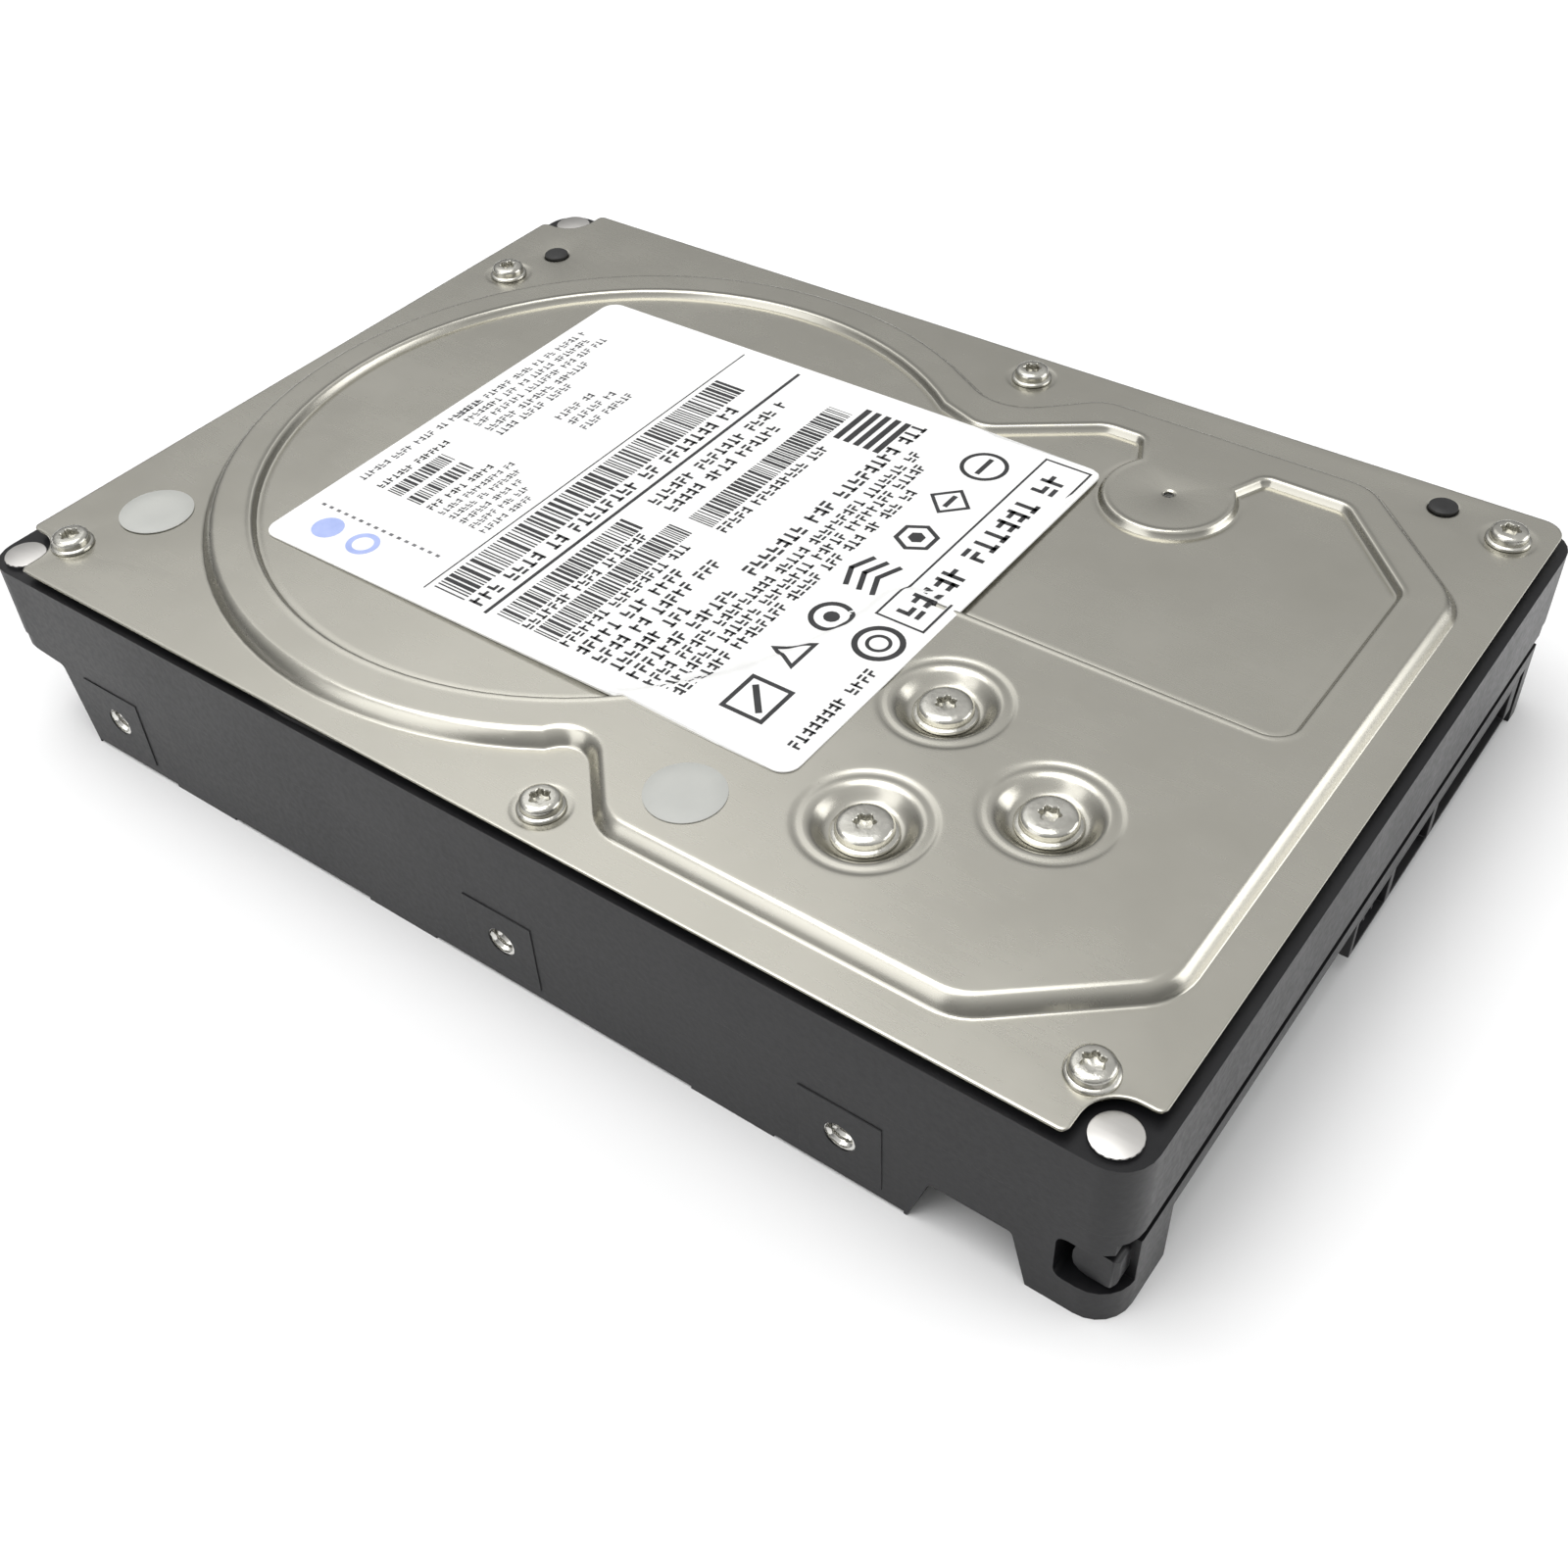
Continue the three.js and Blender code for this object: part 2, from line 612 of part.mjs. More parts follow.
function addSpindle() {
  const discTop = DISC_Z + DISC_PITCH * (DISC_COUNT - 1) + DISC_T;
  const base = ring(3.2, MOTOR_R, UNDERSIDE - 0.4, 4.4, SPINDLE, 24);
  const sleeve = ring(3.2, 6, 4, 12, SPINDLE, 24);
  add("motor_base_and_stator", join([base, sleeve, statorCore()]), materials.aluminium);
  const shaft = post(2.95, UNDERSIDE + 0.2, discTop - 2.5, [0, 0], 20);
  add("spindle_shaft", shaft, materials.screwSteel, spindle);
  const hub = turned(
    [
      [0, discTop - 2.45],
      [6.6, discTop - 2.45],
      [6.6, 12.6],
      [10.9, 12.6],
      [10.9, 7.6],
      [14.6, 7.6],
      [14.6, DISC_Z - FIT_GAP],
      [DISC_HOLE_R - 0.1, DISC_Z - FIT_GAP],
      [DISC_HOLE_R - 0.1, discTop + 0.4],
      [0, discTop + 0.4],
    ],
    [0, 0],
    24,
  );
  add("rotor_magnet", ring(10.2, 10.8, 7.8, 12.2, [0, 0], 24), materials.magnetNickel, spindle);
  for (let i = 0; i < DISC_COUNT; i++) {
    const z = DISC_Z + DISC_PITCH * i;
    const disc = ring(DISC_HOLE_R, DISC_R, z, z + DISC_T, [0, 0], 48);
    add(`disc_${i + 1}`, disc, materials.discMirror, spindle);
    if (i < DISC_COUNT - 1) {
      const spacer = ring(DISC_HOLE_R, 16, z + DISC_T + FIT_GAP, z + DISC_PITCH - FIT_GAP, [0, 0], 24);
      add(`disc_spacer_${i + 1}`, spacer, materials.aluminium, spindle);
    }
  }
  const clampZ = discTop + FIT_GAP;
  const clamp = turned(
    [
      [0, clampZ + 0.5],
      [DISC_HOLE_R, clampZ + 0.5],
      [DISC_HOLE_R + 0.4, clampZ],
      [15.6, clampZ],
      [15.2, clampZ + 1.3],
      [4, clampZ + 1.9],
      [0, clampZ + 1.9],
    ],
    [0, 0],
    24,
  );
  const boltBore = post(1.6, discTop - 3, 30, [0, 0], 12);
  add("disc_clamp", clamp.subtract(boltBore), materials.aluminium, spindle);
  add("spindle_hub", hub.subtract(boltBore), materials.aluminium, spindle);
  const seat = clampZ + 1.9 + FIT_GAP;
  const [tip, head] = [discTop - 2, seat + 1.2];
  const bolt = turned([[0, tip], [1.5, tip], [1.5, seat], [3, seat], [2.8, head], [0, head]]);
  add("disc_clamp_screw", bolt, materials.screwSteel, spindle);
}

// Nine stator teeth around the bearing sleeve.
function statorCore() {
  const teeth = [];
  const count = 9;
  for (let i = 0; i < count; i++) {
    const middle = (360 / count) * i;
    const [x, y] = SPINDLE;
    const tooth = block(6.5, -1.5, 7.4, 9.6, 1.5, 11.4);
    teeth.push(tooth.rotate([0, 0, middle]).translate([x, y, 0]));
  }
  return join([ring(5.9, 7.2, 7.4, 11.4, SPINDLE, 24), ...teeth]);
}

// ---------------------------------------------------------------- actuator, in its own frame: arms along +X

// Heights of the arms' middles, each halfway between two discs.
function armCentres() {
  const centres = [];
  for (let i = 0; i <= DISC_COUNT; i++) {
    centres.push(DISC_Z + DISC_PITCH * i - (DISC_PITCH - DISC_T) / 2);
  }
  return centres;
}

// A wedge-shaped outline about the actuator's axis, between two radii and two angles.
function sector(inner, outer, from, to) {
  return outline([...arc([0, 0], inner, from, to, 8), ...arc([0, 0], outer, to, from, 8)]);
}

function armBlock() {
  const [low, high] = [armCentres()[0] - ARM_T / 2, armCentres().at(-1) + ARM_T / 2];
  const body = post(7.3, low, high, [0, 0], 24);
  const edge = [[2, 7, 0], [12, 6.4, 1], [ARM_TIP, 2.6, 0.8]];
  const mirrored = edge.map(([x, y, r]) => [x, -y, r]);
  const bladeOutline = outline([...mirrored, ...edge.reverse()]);
  const windowOutline = outline([[14, -2.6, 1], [30, -1.3, 1], [30, 1.3, 1], [14, 2.6, 1]]);
  const arms = armCentres().map((z) =>
    slab(bladeOutline, z - ARM_T / 2, z + ARM_T / 2).subtract(slab(windowOutline, z - 2, z + 2)),
  );
  const forks = [-1, 1].map((side) =>
    slab(
      outline([[-4, side * 2.5, 0], [-9, side * 2.0, 0], [-10.2, side * 3.4, 0], [-5, side * 6.4, 0]]),
      ...COIL_Z,
    ),
  );
  return join([body, ...arms, ...forks]).subtract(post(4.6, 0, 30, [0, 0], 24));
}

function coilMould() {
  const half = 18;
  const rim = slab(sector(10.5, 29, 180 - half, 180 + half), ...COIL_Z)
    .subtract(slab(sector(13.3, 27.3, 180 - half + 4, 180 + half - 4), 0, 30));
  const stem = slab(sector(19.4, 21.4, 143, 180 - half + 1), ...COIL_Z);
  const hook = slab(sector(19.4, 25.2, 143, 146), ...COIL_Z);
  const fork = join([rim, stem, hook]);
  return fork.subtract(slab(outline([[-3, -7, 0], [-10.8, -3.9, 0], [-10.8, 3.9, 0], [-3, 7, 0]]), 0, 30));
}

function voiceCoil() {
  const half = 13.4;
  return slab(sector(13.7, 26.9, 180 - half, 180 + half), COIL_Z[0] + 0.1, COIL_Z[1] - 0.1)
    .subtract(slab(sector(17.2, 23.6, 180 - half + 6, 180 + half - 6), 0, 30));
}

// The heads on one arm: for each disc that the arm's gap meets, a spring beam, a lift tab and a slider.
function headPair(gap) {
  const armZ = armCentres()[gap];
  const plate = slab(rectangle(ARM_TIP + 0.3, -2.3, ARM_TIP + 4, 2.3, 0.5), armZ - 0.3, armZ + 0.3);
  const parts = [plate];
  const discAbove = DISC_Z + DISC_PITCH * gap;
  const discBelow = discAbove - DISC_PITCH + DISC_T;
  const surfaces = [];
  if (gap < DISC_COUNT) surfaces.push({ z: discAbove - 0.1, side: -1 });
  if (gap > 0) surfaces.push({ z: discBelow + 0.1, side: 1 });
  surfaces.forEach(({ z, side }) => {
    const beamLow = side > 0 ? z + 0.4 : z - 0.6;
    const [x0, x1] = [ARM_TIP + 3, HEAD_R + 0.4];
    const beam = outline([[x0, -1.9, 0], [x1, -0.8, 0], [x1, 0.8, 0], [x0, 1.9, 0]]);
    const stand = [Math.min(armZ, beamLow), Math.max(armZ, beamLow + 0.2)];
    parts.push(slab(beam, beamLow, beamLow + 0.2));
    parts.push(block(ARM_TIP + 3, -1.5, stand[0], ARM_TIP + 3.9, 1.5, stand[1]));
    parts.push(block(HEAD_R, -0.35, beamLow, HEAD_R + 3.2, 0.35, beamLow + 0.2));
    const sliderLow = side > 0 ? z : z - 0.5;
    parts.push(block(HEAD_R - 1, -0.5, sliderLow, HEAD_R + 0.2, 0.5, sliderLow + 0.5));
  });
  return join(parts);
}

function addActuator() {
  add("arm_block", armBlock(), materials.aluminium, actuator);
  add("pivot_bearing", ring(2.55, 4.3, 8.6, 21.2, [0, 0], 20), materials.screwSteel, actuator);
  add("coil_holder", coilMould(), materials.rampPlastic, actuator);
  add("voice_coil", voiceCoil(), materials.coilCopper, actuator);
  for (let gap = 0; gap <= DISC_COUNT; gap++) {
    add(`head_gimbals_${gap + 1}`, headPair(gap), materials.screwSteel, actuator);
  }
  const shaft = ring(1.3, 2.5, CHAMBER_FLOOR + FIT_GAP, 21.6, PIVOT, 20);
  const foot = post(5, CHAMBER_FLOOR + FIT_GAP, 8.3, PIVOT, 20);
  add("pivot_shaft", shaft.add(foot.subtract(post(1.3, 0, 30, PIVOT, 20))), materials.screwSteel);
}

// ---------------------------------------------------------------- voice coil motor, latch, ramp and filters

const yokeOutline = outline([
  [-18.0, -45.0, 0],
  [-24.9, -41.0, 0],
  [-26.9, -33.4, 0],
  [-33.6, -32.0, 1.5],
  [-44.7, -35.0, 1.5],
  [-44.7, -46.0, 2],
  [-38.4, -61.0, 2],
  [-12.6, -61.0, 2],
  [-13.2, -52.0, 1],
]);

function addVoiceCoilMotor() {
  const plate = 2.4;
  const magnet = 2.0;
  const [low, high] = YOKE_GAP;
  const magnetOutline = outline([
    ...arc(PIVOT, 14.5, 190, 250, 10),
    ...arc(PIVOT, 27.5, 250, 190, 10),
  ]);
  const lowYoke = slab(yokeOutline, CHAMBER_FLOOR + FIT_GAP, low - magnet - 0.1);
  const highYoke = slab(yokeOutline, high + magnet + 0.1, high + magnet + plate);
  const screwBores = [DIMPLE_SCREWS[0], DIMPLE_SCREWS[2]].map((place) => bore(SCREW_R, 0, 30, place));
  const posts = YOKE_POSTS.map((place) => post(1.5, low - magnet - 1, high + magnet + 0.05, place, 12));
  const spigots = YOKE_POSTS.map((place) => post(0.95, 6, high + magnet + 1.8, place, 12));
  const postBores = YOKE_POSTS.map((place) => post(1.05, 0, 30, place, 12));
  add("lower_yoke", join([lowYoke, ...posts, ...spigots]), materials.magnetNickel);
  add("upper_yoke", cut(highYoke, [...screwBores, ...postBores]), materials.magnetNickel);
  add("lower_magnet", slab(magnetOutline, low - magnet, low), materials.magnetNickel);
  add("upper_magnet", slab(magnetOutline, high, high + magnet), materials.magnetNickel);
}

function addLatch() {
  const latch = new THREE.Group();
  latch.position.set(LATCH_PIN[0], LATCH_PIN[1], 0);
  latch.rotation.z = degrees(LATCH_REST);
  drive.add(latch);
  const lever = slab(
    outline([
      [-2.2, -1.6, 1],
      [LATCH_LENGTH, -0.7, 0],
      [LATCH_LENGTH + 0.7, 1.7, 0],
      [LATCH_LENGTH - 0.8, 1.7, 0],
      [LATCH_LENGTH - 1.2, 0.6, 0],
      [-2.2, 1.6, 1],
    ]),
    13.2,
    15.4,
  ).add(post(2.1, 13.2, 15.4, [0, 0], 16));
  add("actuator_latch", lever.subtract(post(1.0, 0, 30, [0, 0], 16)), materials.chipPlastic, latch);
}

function addCrashStops() {
  const stops = [
    ["crash_stop_outer", polar(PIVOT, 14.4, 173)],
    ["crash_stop_inner", polar(PIVOT, 14.4, 265)],
  ];
  stops.forEach(([name, place]) => {
    add(name, post(1.5, CHAMBER_FLOOR + FIT_GAP, 17, place, 14), materials.gasketRubber);
  });
}

// The ramp that the heads park on, just off the discs' edge: a fin at each disc on a shared post.
function loadRamp() {
  const at = (radius, angle) => [...polar(PIVOT, radius, angle), 0];
  const finPoints = outline([at(53.4, 18), at(58, 18), at(58, 24.5), at(53.4, 24.5)]);
  const fins = [];
  for (let i = 0; i < DISC_COUNT; i++) {
    const z = DISC_Z + DISC_PITCH * i;
    fins.push(slab(finPoints, z - 0.3, z + DISC_T + 0.3));
  }
  const spine = outline([at(56, 17), at(58.6, 17), at(58.6, 25), at(56, 25)]);
  const column = slab(spine, CHAMBER_FLOOR + FIT_GAP, 20.4);
  return join([column, ...fins]).subtract(post(DISC_R + 0.6, 0, 30, SPINDLE, 72));
}

function addRampAndFilters() {
  add("load_ramp", loadRamp(), materials.rampPlastic);
  const recirculation = slab(rectangle(41.2, -38, 44.8, -24, 1), CHAMBER_FLOOR + FIT_GAP, 19);
  add("recirculation_filter", recirculation, materials.filterFelt);
  const under = PLATEAU_TOP - COVER_T - FIT_GAP;
  add("breather_filter", ring(1, 6.4, under - 2.2, under, BREATHER, 24), materials.filterFelt);
}

// The flexible circuit: a folded ribbon from a bracket on the floor to the arm block.
function addFlexCircuit() {
  const bracket = slab(rectangle(4, -61, 29, -47, 1.5), CHAMBER_FLOOR + FIT_GAP, 8.6);
  add("flex_bracket", bracket, materials.aluminium);
  const connector = slab(rectangle(9, -57, 25, -50, 0.5), 3.4, CHAMBER_FLOOR);
  add("flex_connector", connector, materials.connectorPlastic);
  const route = new THREE.CatmullRomCurve3([
    new THREE.Vector3(9, -48.5, 12),
    new THREE.Vector3(2, -50, 12),
    new THREE.Vector3(-3, -46, 12),
    new THREE.Vector3(-4.0, -42, 12),
    new THREE.Vector3(-6.3, -38.1, 12),
  ]);
  const strip = new THREE.Shape(rectangle(-3.2, -0.1, 3.2, 0.1));
  const ribbon = solid(new THREE.ExtrudeGeometry(strip, { steps: 14, extrudePath: route }));
  add("flex_ribbon", ribbon, materials.flexAmber);
}

// ---------------------------------------------------------------- circuit board and connector

function circuitBoard() {
  const [x0, x1] = [-RAIL_INNER + 1, RAIL_INNER - 1];
  const top = BOARD_Z + BOARD_T;
  const board = slab(rectangle(x0, -HALF_L + 5.4, x1, BOARD_END, 1.5), BOARD_Z, top);
  const holes = BOARD_SCREWS.map((place) => post(1.5, 0, 6, place, 12));
  return cut(board, [post(MOTOR_R + 3, 0, 6, SPINDLE, 32), ...holes]);
}

function addBoard() {
  add("circuit_board", circuitBoard(), materials.boardGreen);
  const top = BOARD_Z + BOARD_T + FIT_GAP;
  CHIPS.forEach(([name, [x, y], width, length, thick]) => {
    const outlineOfChip = rectangle(x - width / 2, y - length / 2, x + width / 2, y + length / 2, 0.3);
    add(name, slab(outlineOfChip, top, top + thick), materials.chipPlastic);
  });
  BOARD_SCREWS.forEach((place, i) => {
    const z = BOARD_Z - FIT_GAP;
    const tip = BOARD_POCKET - 0.1;
    const profile = [[0, z - 0.9], [2.1, z - 0.9], [2.3, z], [1.2, z], [1.2, tip], [0, tip]];
    const recess = slab(sixLobes(place, 0.95), -1, z - 0.3);
    add(`board_screw_${i + 1}`, turned(profile, place, 14).subtract(recess), materials.screwSteel);
  });
}

// Contact blades under a tongue, joined by the strip that carries them at the back.
function contacts({ first, pitch, count }) {
  const [low, high] = [TONGUE_LOW - 0.35, TONGUE_LOW - FIT_GAP];
  const last = first + pitch * (count - 1);
  const blades = [block(first - 0.3, MOUTH + 5.6, low, last + 0.3, MOUTH + 6.2, high)];
  for (let i = 0; i < count; i++) {
    const x = first + pitch * i;
    blades.push(block(x - 0.3, MOUTH + 1.2, low, x + 0.3, MOUTH + 5.8, high));
  }
  return join(blades);
}

function jumperHeader() {
  const parts = [block(0, MOUTH + 4, 2.9, 6.6, MOUTH + 7, 6.7)];
  for (let i = 0; i < 3; i++) {
    for (const z of [3.5, 5.5]) {
      const x = 1.3 + 2 * i;
      parts.push(block(x - 0.25, MOUTH + 0.6, z - 0.25, x + 0.25, MOUTH + 4.5, z + 0.25));
    }
  }
  return join(parts);
}

// The plug: a shell with a tongue for the signal cable, one for the power cable and a bay for jumper pins.
function addConnector() {
  const [x0, x1] = CONNECTOR_X;
  const [low, high] = [BOARD_Z + BOARD_T + 0.1, END_LIP - 0.4];
  const bays = [[x0 + 0.8, 7.4], [8.6, 18.8], [20.0, 41.8]].map(([from, to]) =>
    block(from, MOUTH - 1, low + 0.2, to, MOUTH + 6.4, high - 0.6),
  );
  const tongues = [[9.6, 17.8, 9.6], [21.0, 40.8, 39.6]].flatMap(([from, to, key]) => [
    block(from, MOUTH + 0.6, TONGUE_LOW, to, MOUTH + 7, TONGUE_LOW + 1.2),
    block(key, MOUTH + 0.6, TONGUE_LOW, key + 1.2, MOUTH + 7, TONGUE_LOW + 2.2),
  ]);
  const shell = cut(block(x0, MOUTH, low, x1, CONNECTOR_BACK, high), bays);
  add("sata_connector", join([shell, ...tongues, jumperHeader()]), materials.connectorPlastic);
  add("signal_contacts", contacts(SIGNAL_PINS), materials.contactGold);
  add("power_contacts", contacts(POWER_PINS), materials.contactGold);
}

add("base_casting", baseCasting(), materials.castingPaint);
add("top_cover", topCover(), materials.coverSteel);
add("cover_gasket", coverGasket(), materials.gasketRubber);
addCoverScrews();
addCoverTrim();
addSpindle();
addActuator();
addVoiceCoilMotor();
addLatch();
addCrashStops();
addRampAndFilters();
addFlexCircuit();
addBoard();
addConnector();

export default drive;
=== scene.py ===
"""The looks of a 3.5-inch hard disk drive: cover, printed label, black casting, screws and board."""

import math
import random

import bmesh
import bpy
from mathutils import Matrix, Vector, geometry


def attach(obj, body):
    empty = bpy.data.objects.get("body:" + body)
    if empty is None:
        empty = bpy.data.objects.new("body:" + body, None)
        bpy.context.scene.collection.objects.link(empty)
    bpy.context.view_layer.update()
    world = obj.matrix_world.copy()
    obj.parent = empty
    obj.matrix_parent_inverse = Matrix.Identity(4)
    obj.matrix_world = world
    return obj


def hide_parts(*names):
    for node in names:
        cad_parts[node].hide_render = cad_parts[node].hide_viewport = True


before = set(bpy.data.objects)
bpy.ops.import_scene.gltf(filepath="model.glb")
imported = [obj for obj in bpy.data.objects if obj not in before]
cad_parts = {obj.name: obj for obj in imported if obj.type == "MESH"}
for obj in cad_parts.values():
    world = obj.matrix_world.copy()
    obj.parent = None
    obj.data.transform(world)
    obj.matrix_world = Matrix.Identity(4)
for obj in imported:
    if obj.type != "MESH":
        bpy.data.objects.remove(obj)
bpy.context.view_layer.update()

MM = 0.001

# ---------------- driving sizes, in millimetres

COVER_T = 0.8
COVER_LIP = 0.14  # how far the cover's rounded edge turns down
SEAT_SINK = 0.1  # how far the cover sinks under a rim screw
RIM_TOP = 24.0
PLATEAU_TOP = 25.7
RECESS_TOP = 25.05
SLOPE_RUN = 1.75  # width of the raised part's edge
SLOPE_FOOT = 0.08  # share of it that curves at the foot
SLOPE_CREST = 0.8  # share of it that curves at the crest
SLOPE_STEPS = 18
SLOPE_MARGIN = 0.25  # flat sheet kept on either side of it
SPINDLE = (0.0, 22.4)
BREATHER = (30.1, -34.0)
BREATHER_R = 7.3
LABEL = (-31.2, -25.9, 30.3, 47.7)
LABEL_T = 0.15
RIM_SCREWS = [
    (-43.9, 65.6),
    (30.3, 66.4),
    (-46.0, -7.6),
    (45.6, -7.4),
    (-43.9, -65.5),
    (44.6, -67.6),
]
RIM_SCREW_TIP = 14.2
DIMPLE_SCREWS = [(-31.8, -35.0), (-13.6, -32.3), (-21.4, -48.5)]
DIMPLE_SCREW_TIP = 19.7
DIMPLE_DEPTH = 1.6
PLUG_HOLES = [(37.9, 64.3), (46.5, -59.6)]
CORNER_PADS = [(-47.6, 69.8), (47.6, 69.8), (-47.6, -69.8)]
PAD_R = 2.35
PAD_TOP = 23.1
HALF_WIDTH = 50.8
SIDE_HOLES = (-45.0, -3.4, 56.6)
SIDE_HOLE_Z = 6.35
BOTTOM_HOLES = (-32.22, 12.23, 43.98)
BOTTOM_HOLE_X = 47.625
MOUNT_HOLE_R = 1.75
BOARD_Z = 1.4
BOARD_SCREWS = [(-38, 1), (38, 1), (-38, -63), (38, -30)]
BOARD_SCREW_CLEARANCE = 3.6
MOTOR_CLEARANCE = 19.0
BOARD_PAD_REACH = 38.0
BOARD_PAD_START = -64.0
BOARD_PAD_STEP = 3.8
BOARD_PAD_ROWS = 18
BOARD_PAD_COLUMNS = 21
BOARD_PAD_RADII = (0.45, 0.6, 0.6, 0.8)
BOARD_PAD_SHARE = 0.42  # of the places that hold a pad
BOARD_PAD_SIDES = 14
BOARD_PAD_FACES = (BOARD_Z - 0.04, BOARD_Z + 0.02)
SEALS = {
    "servo_hole_seal_rim": ((-34.4, 62.4), 4.3, RIM_TOP),
    "servo_hole_seal_middle": ((-38.2, -19.0), 4.1, PLATEAU_TOP),
}


# ---------------- outlines

ROUNDING_STEP = 9.0  # degrees between points round a corner
SAME_PLACE = 0.02  # points closer than this count as one
MITRE_LIMIT = 0.5  # keeps a sharp corner from running far out


def arc(centre, radius, start, end, step=4.0):
    """Corners along an arc, in degrees, with no rounding."""
    count = max(1, math.ceil(abs(end - start) / step))
    points = []
    for i in range(count + 1):
        a = math.radians(start + (end - start) * i / count)
        points.append((centre[0] + radius * math.cos(a), centre[1] + radius * math.sin(a), 0))
    return points


def circle(centre, radius, count):
    """Points round a circle, anticlockwise."""
    turns = [2 * math.pi * i / count for i in range(count)]
    return [(centre[0] + radius * math.cos(a), centre[1] + radius * math.sin(a)) for a in turns]


def outline(corners):
    """A closed outline from corners (x, y, rounding radius)."""
    points = []
    for i, (x, y, radius) in enumerate(corners):
        corner = Vector((x, y))
        if not radius:
            points.append(corner)
            continue
        back = (Vector(corners[i - 1][:2]) - corner).normalized()
        on = (Vector(corners[(i + 1) % len(corners)][:2]) - corner).normalized()
        half = math.acos(max(-1, min(1, back.dot(on)))) / 2
        centre = corner + (back + on).normalized() * (radius / math.sin(half))
        start = corner + back * (radius / math.tan(half)) - centre
        turn = (math.pi - 2 * half) * (1 if back.cross(on) < 0 else -1)
        count = max(1, math.ceil(abs(turn) / math.radians(ROUNDING_STEP)))
        for k in range(count + 1):
            points.append(centre + Matrix.Rotation(turn * k / count, 2) @ start)
    cleaned = [p for i, p in enumerate(points) if (p - points[i - 1]).length > SAME_PLACE]
    return [(p.x, p.y) for p in cleaned]


def inward(points, amount):
    """An anticlockwise outline moved in by an amount, or out where the amount is negative."""
    moved = []
    for i, point in enumerate(points):
        here = Vector(point)
        before = (here - Vector(points[i - 1])).normalized()
        after = (Vector(points[(i + 1) % len(points)]) - here).normalized()
        along = (before + after).normalized()
        normal = Vector((-along.y, along.x))
        stretch = 1 / max(MITRE_LIMIT, normal.dot(Vector((-before.y, before.x))))
        moved.append(tuple(here + normal * amount * stretch))
    return moved


def inside(point, polygon):
    """Whether a point lies in a polygon."""
    x, y = point
    hit = False
    for i, (x1, y1) in enumerate(polygon):
        x0, y0 = polygon[i - 1]
        if (y0 > y) != (y1 > y) and x < (x1 - x0) * (y - y0) / (y1 - y0) + x0:
            hit = not hit
    return hit


def depth_inside(point, polygon):
    """How far a point lies inside a polygon's edge, negative outside."""
    here = Vector(point)
    nearest = math.inf
    for i, end in enumerate(polygon):
        start, end = Vector(polygon[i - 1]), Vector(end)
        t = geometry.intersect_point_line(here, start, end)[1]
        foot = start.lerp(end, max(0.0, min(1.0, t)))
        nearest = min(nearest, (here - foot).length)
    return nearest if inside(point, polygon) else -nearest


COVER_EDGE = outline(
    [
        (-44.4, -72.3, 0.8),
        (50.35, -72.3, 2.6),
        (50.35, 66.7, 0.8),
        (44.4, 66.7, 3.6),
        (44.4, 72.3, 0.8),
        (-44.4, 72.3, 0.8),
        (-44.4, 66.7, 3.6),
        (-50.35, 66.7, 0.8),
        (-50.35, -66.7, 0.8),
        (-44.4, -66.7, 3.6),
    ]
)

RAISED_EDGE = outline(
    [
        (-33.5, -68.3, 7),
        (29.7, -68.3, 7),
        (44.8, -52.7, 7),
        (44.8, -18.2, 6),
        (36.2, -9.0, 6),
        *arc(SPINDLE, 47, -32, 212),
        (-36.3, -5.0, 3),
        (-45.9, -14.0, 6),
        (-45.9, -53.5, 7),
    ]
)

RECESS_EDGE = outline(
    [
        (-0.9, -62.6, 3),
        (27.3, -62.6, 2.5),
        (38.8, -51.5, 2.5),
        (38.8, -41.6, 1.5),
        *arc(BREATHER, BREATHER_R, -52, -308, 8),
        (38.8, -26.4, 1.5),
        (38.8, -21.5, 4),
        (30.3, -9.2, 4),
        *arc(SPINDLE, 41.2, -38, 262),
        (-0.9, -18.6, 2),
    ]
)


# ---------------- mesh helpers


def new_piece(name, made, material, stands_for=()):
    """A piece from a bmesh in millimetres, riding on the base."""
    mesh = bpy.data.meshes.new(name)
    made.transform(Matrix.Scale(MM, 4))
    made.to_mesh(mesh)
    made.free()
    piece = bpy.data.objects.new(name, mesh)
    bpy.context.scene.collection.objects.link(piece)
    mesh.materials.append(material)
    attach(piece, "base")
    if stands_for:
        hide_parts(*stands_for)
    return piece


def smooth(piece, angle):
    """Smooth shading, apart from edges sharper than an angle."""
    piece.data.shade_smooth()
    piece.data.set_sharp_from_angle(angle=math.radians(angle))


def apply_modifier(piece, kind, **settings):
    """Adds a modifier and applies it to the mesh."""
    modifier = piece.modifiers.new(kind.lower(), kind)
    for key, value in settings.items():
        setattr(modifier, key, value)
    graph = bpy.context.evaluated_depsgraph_get()
    finished = bpy.data.meshes.new_from_object(piece.evaluated_get(graph), depsgraph=graph)
    piece.modifiers.clear()
    piece.data = finished


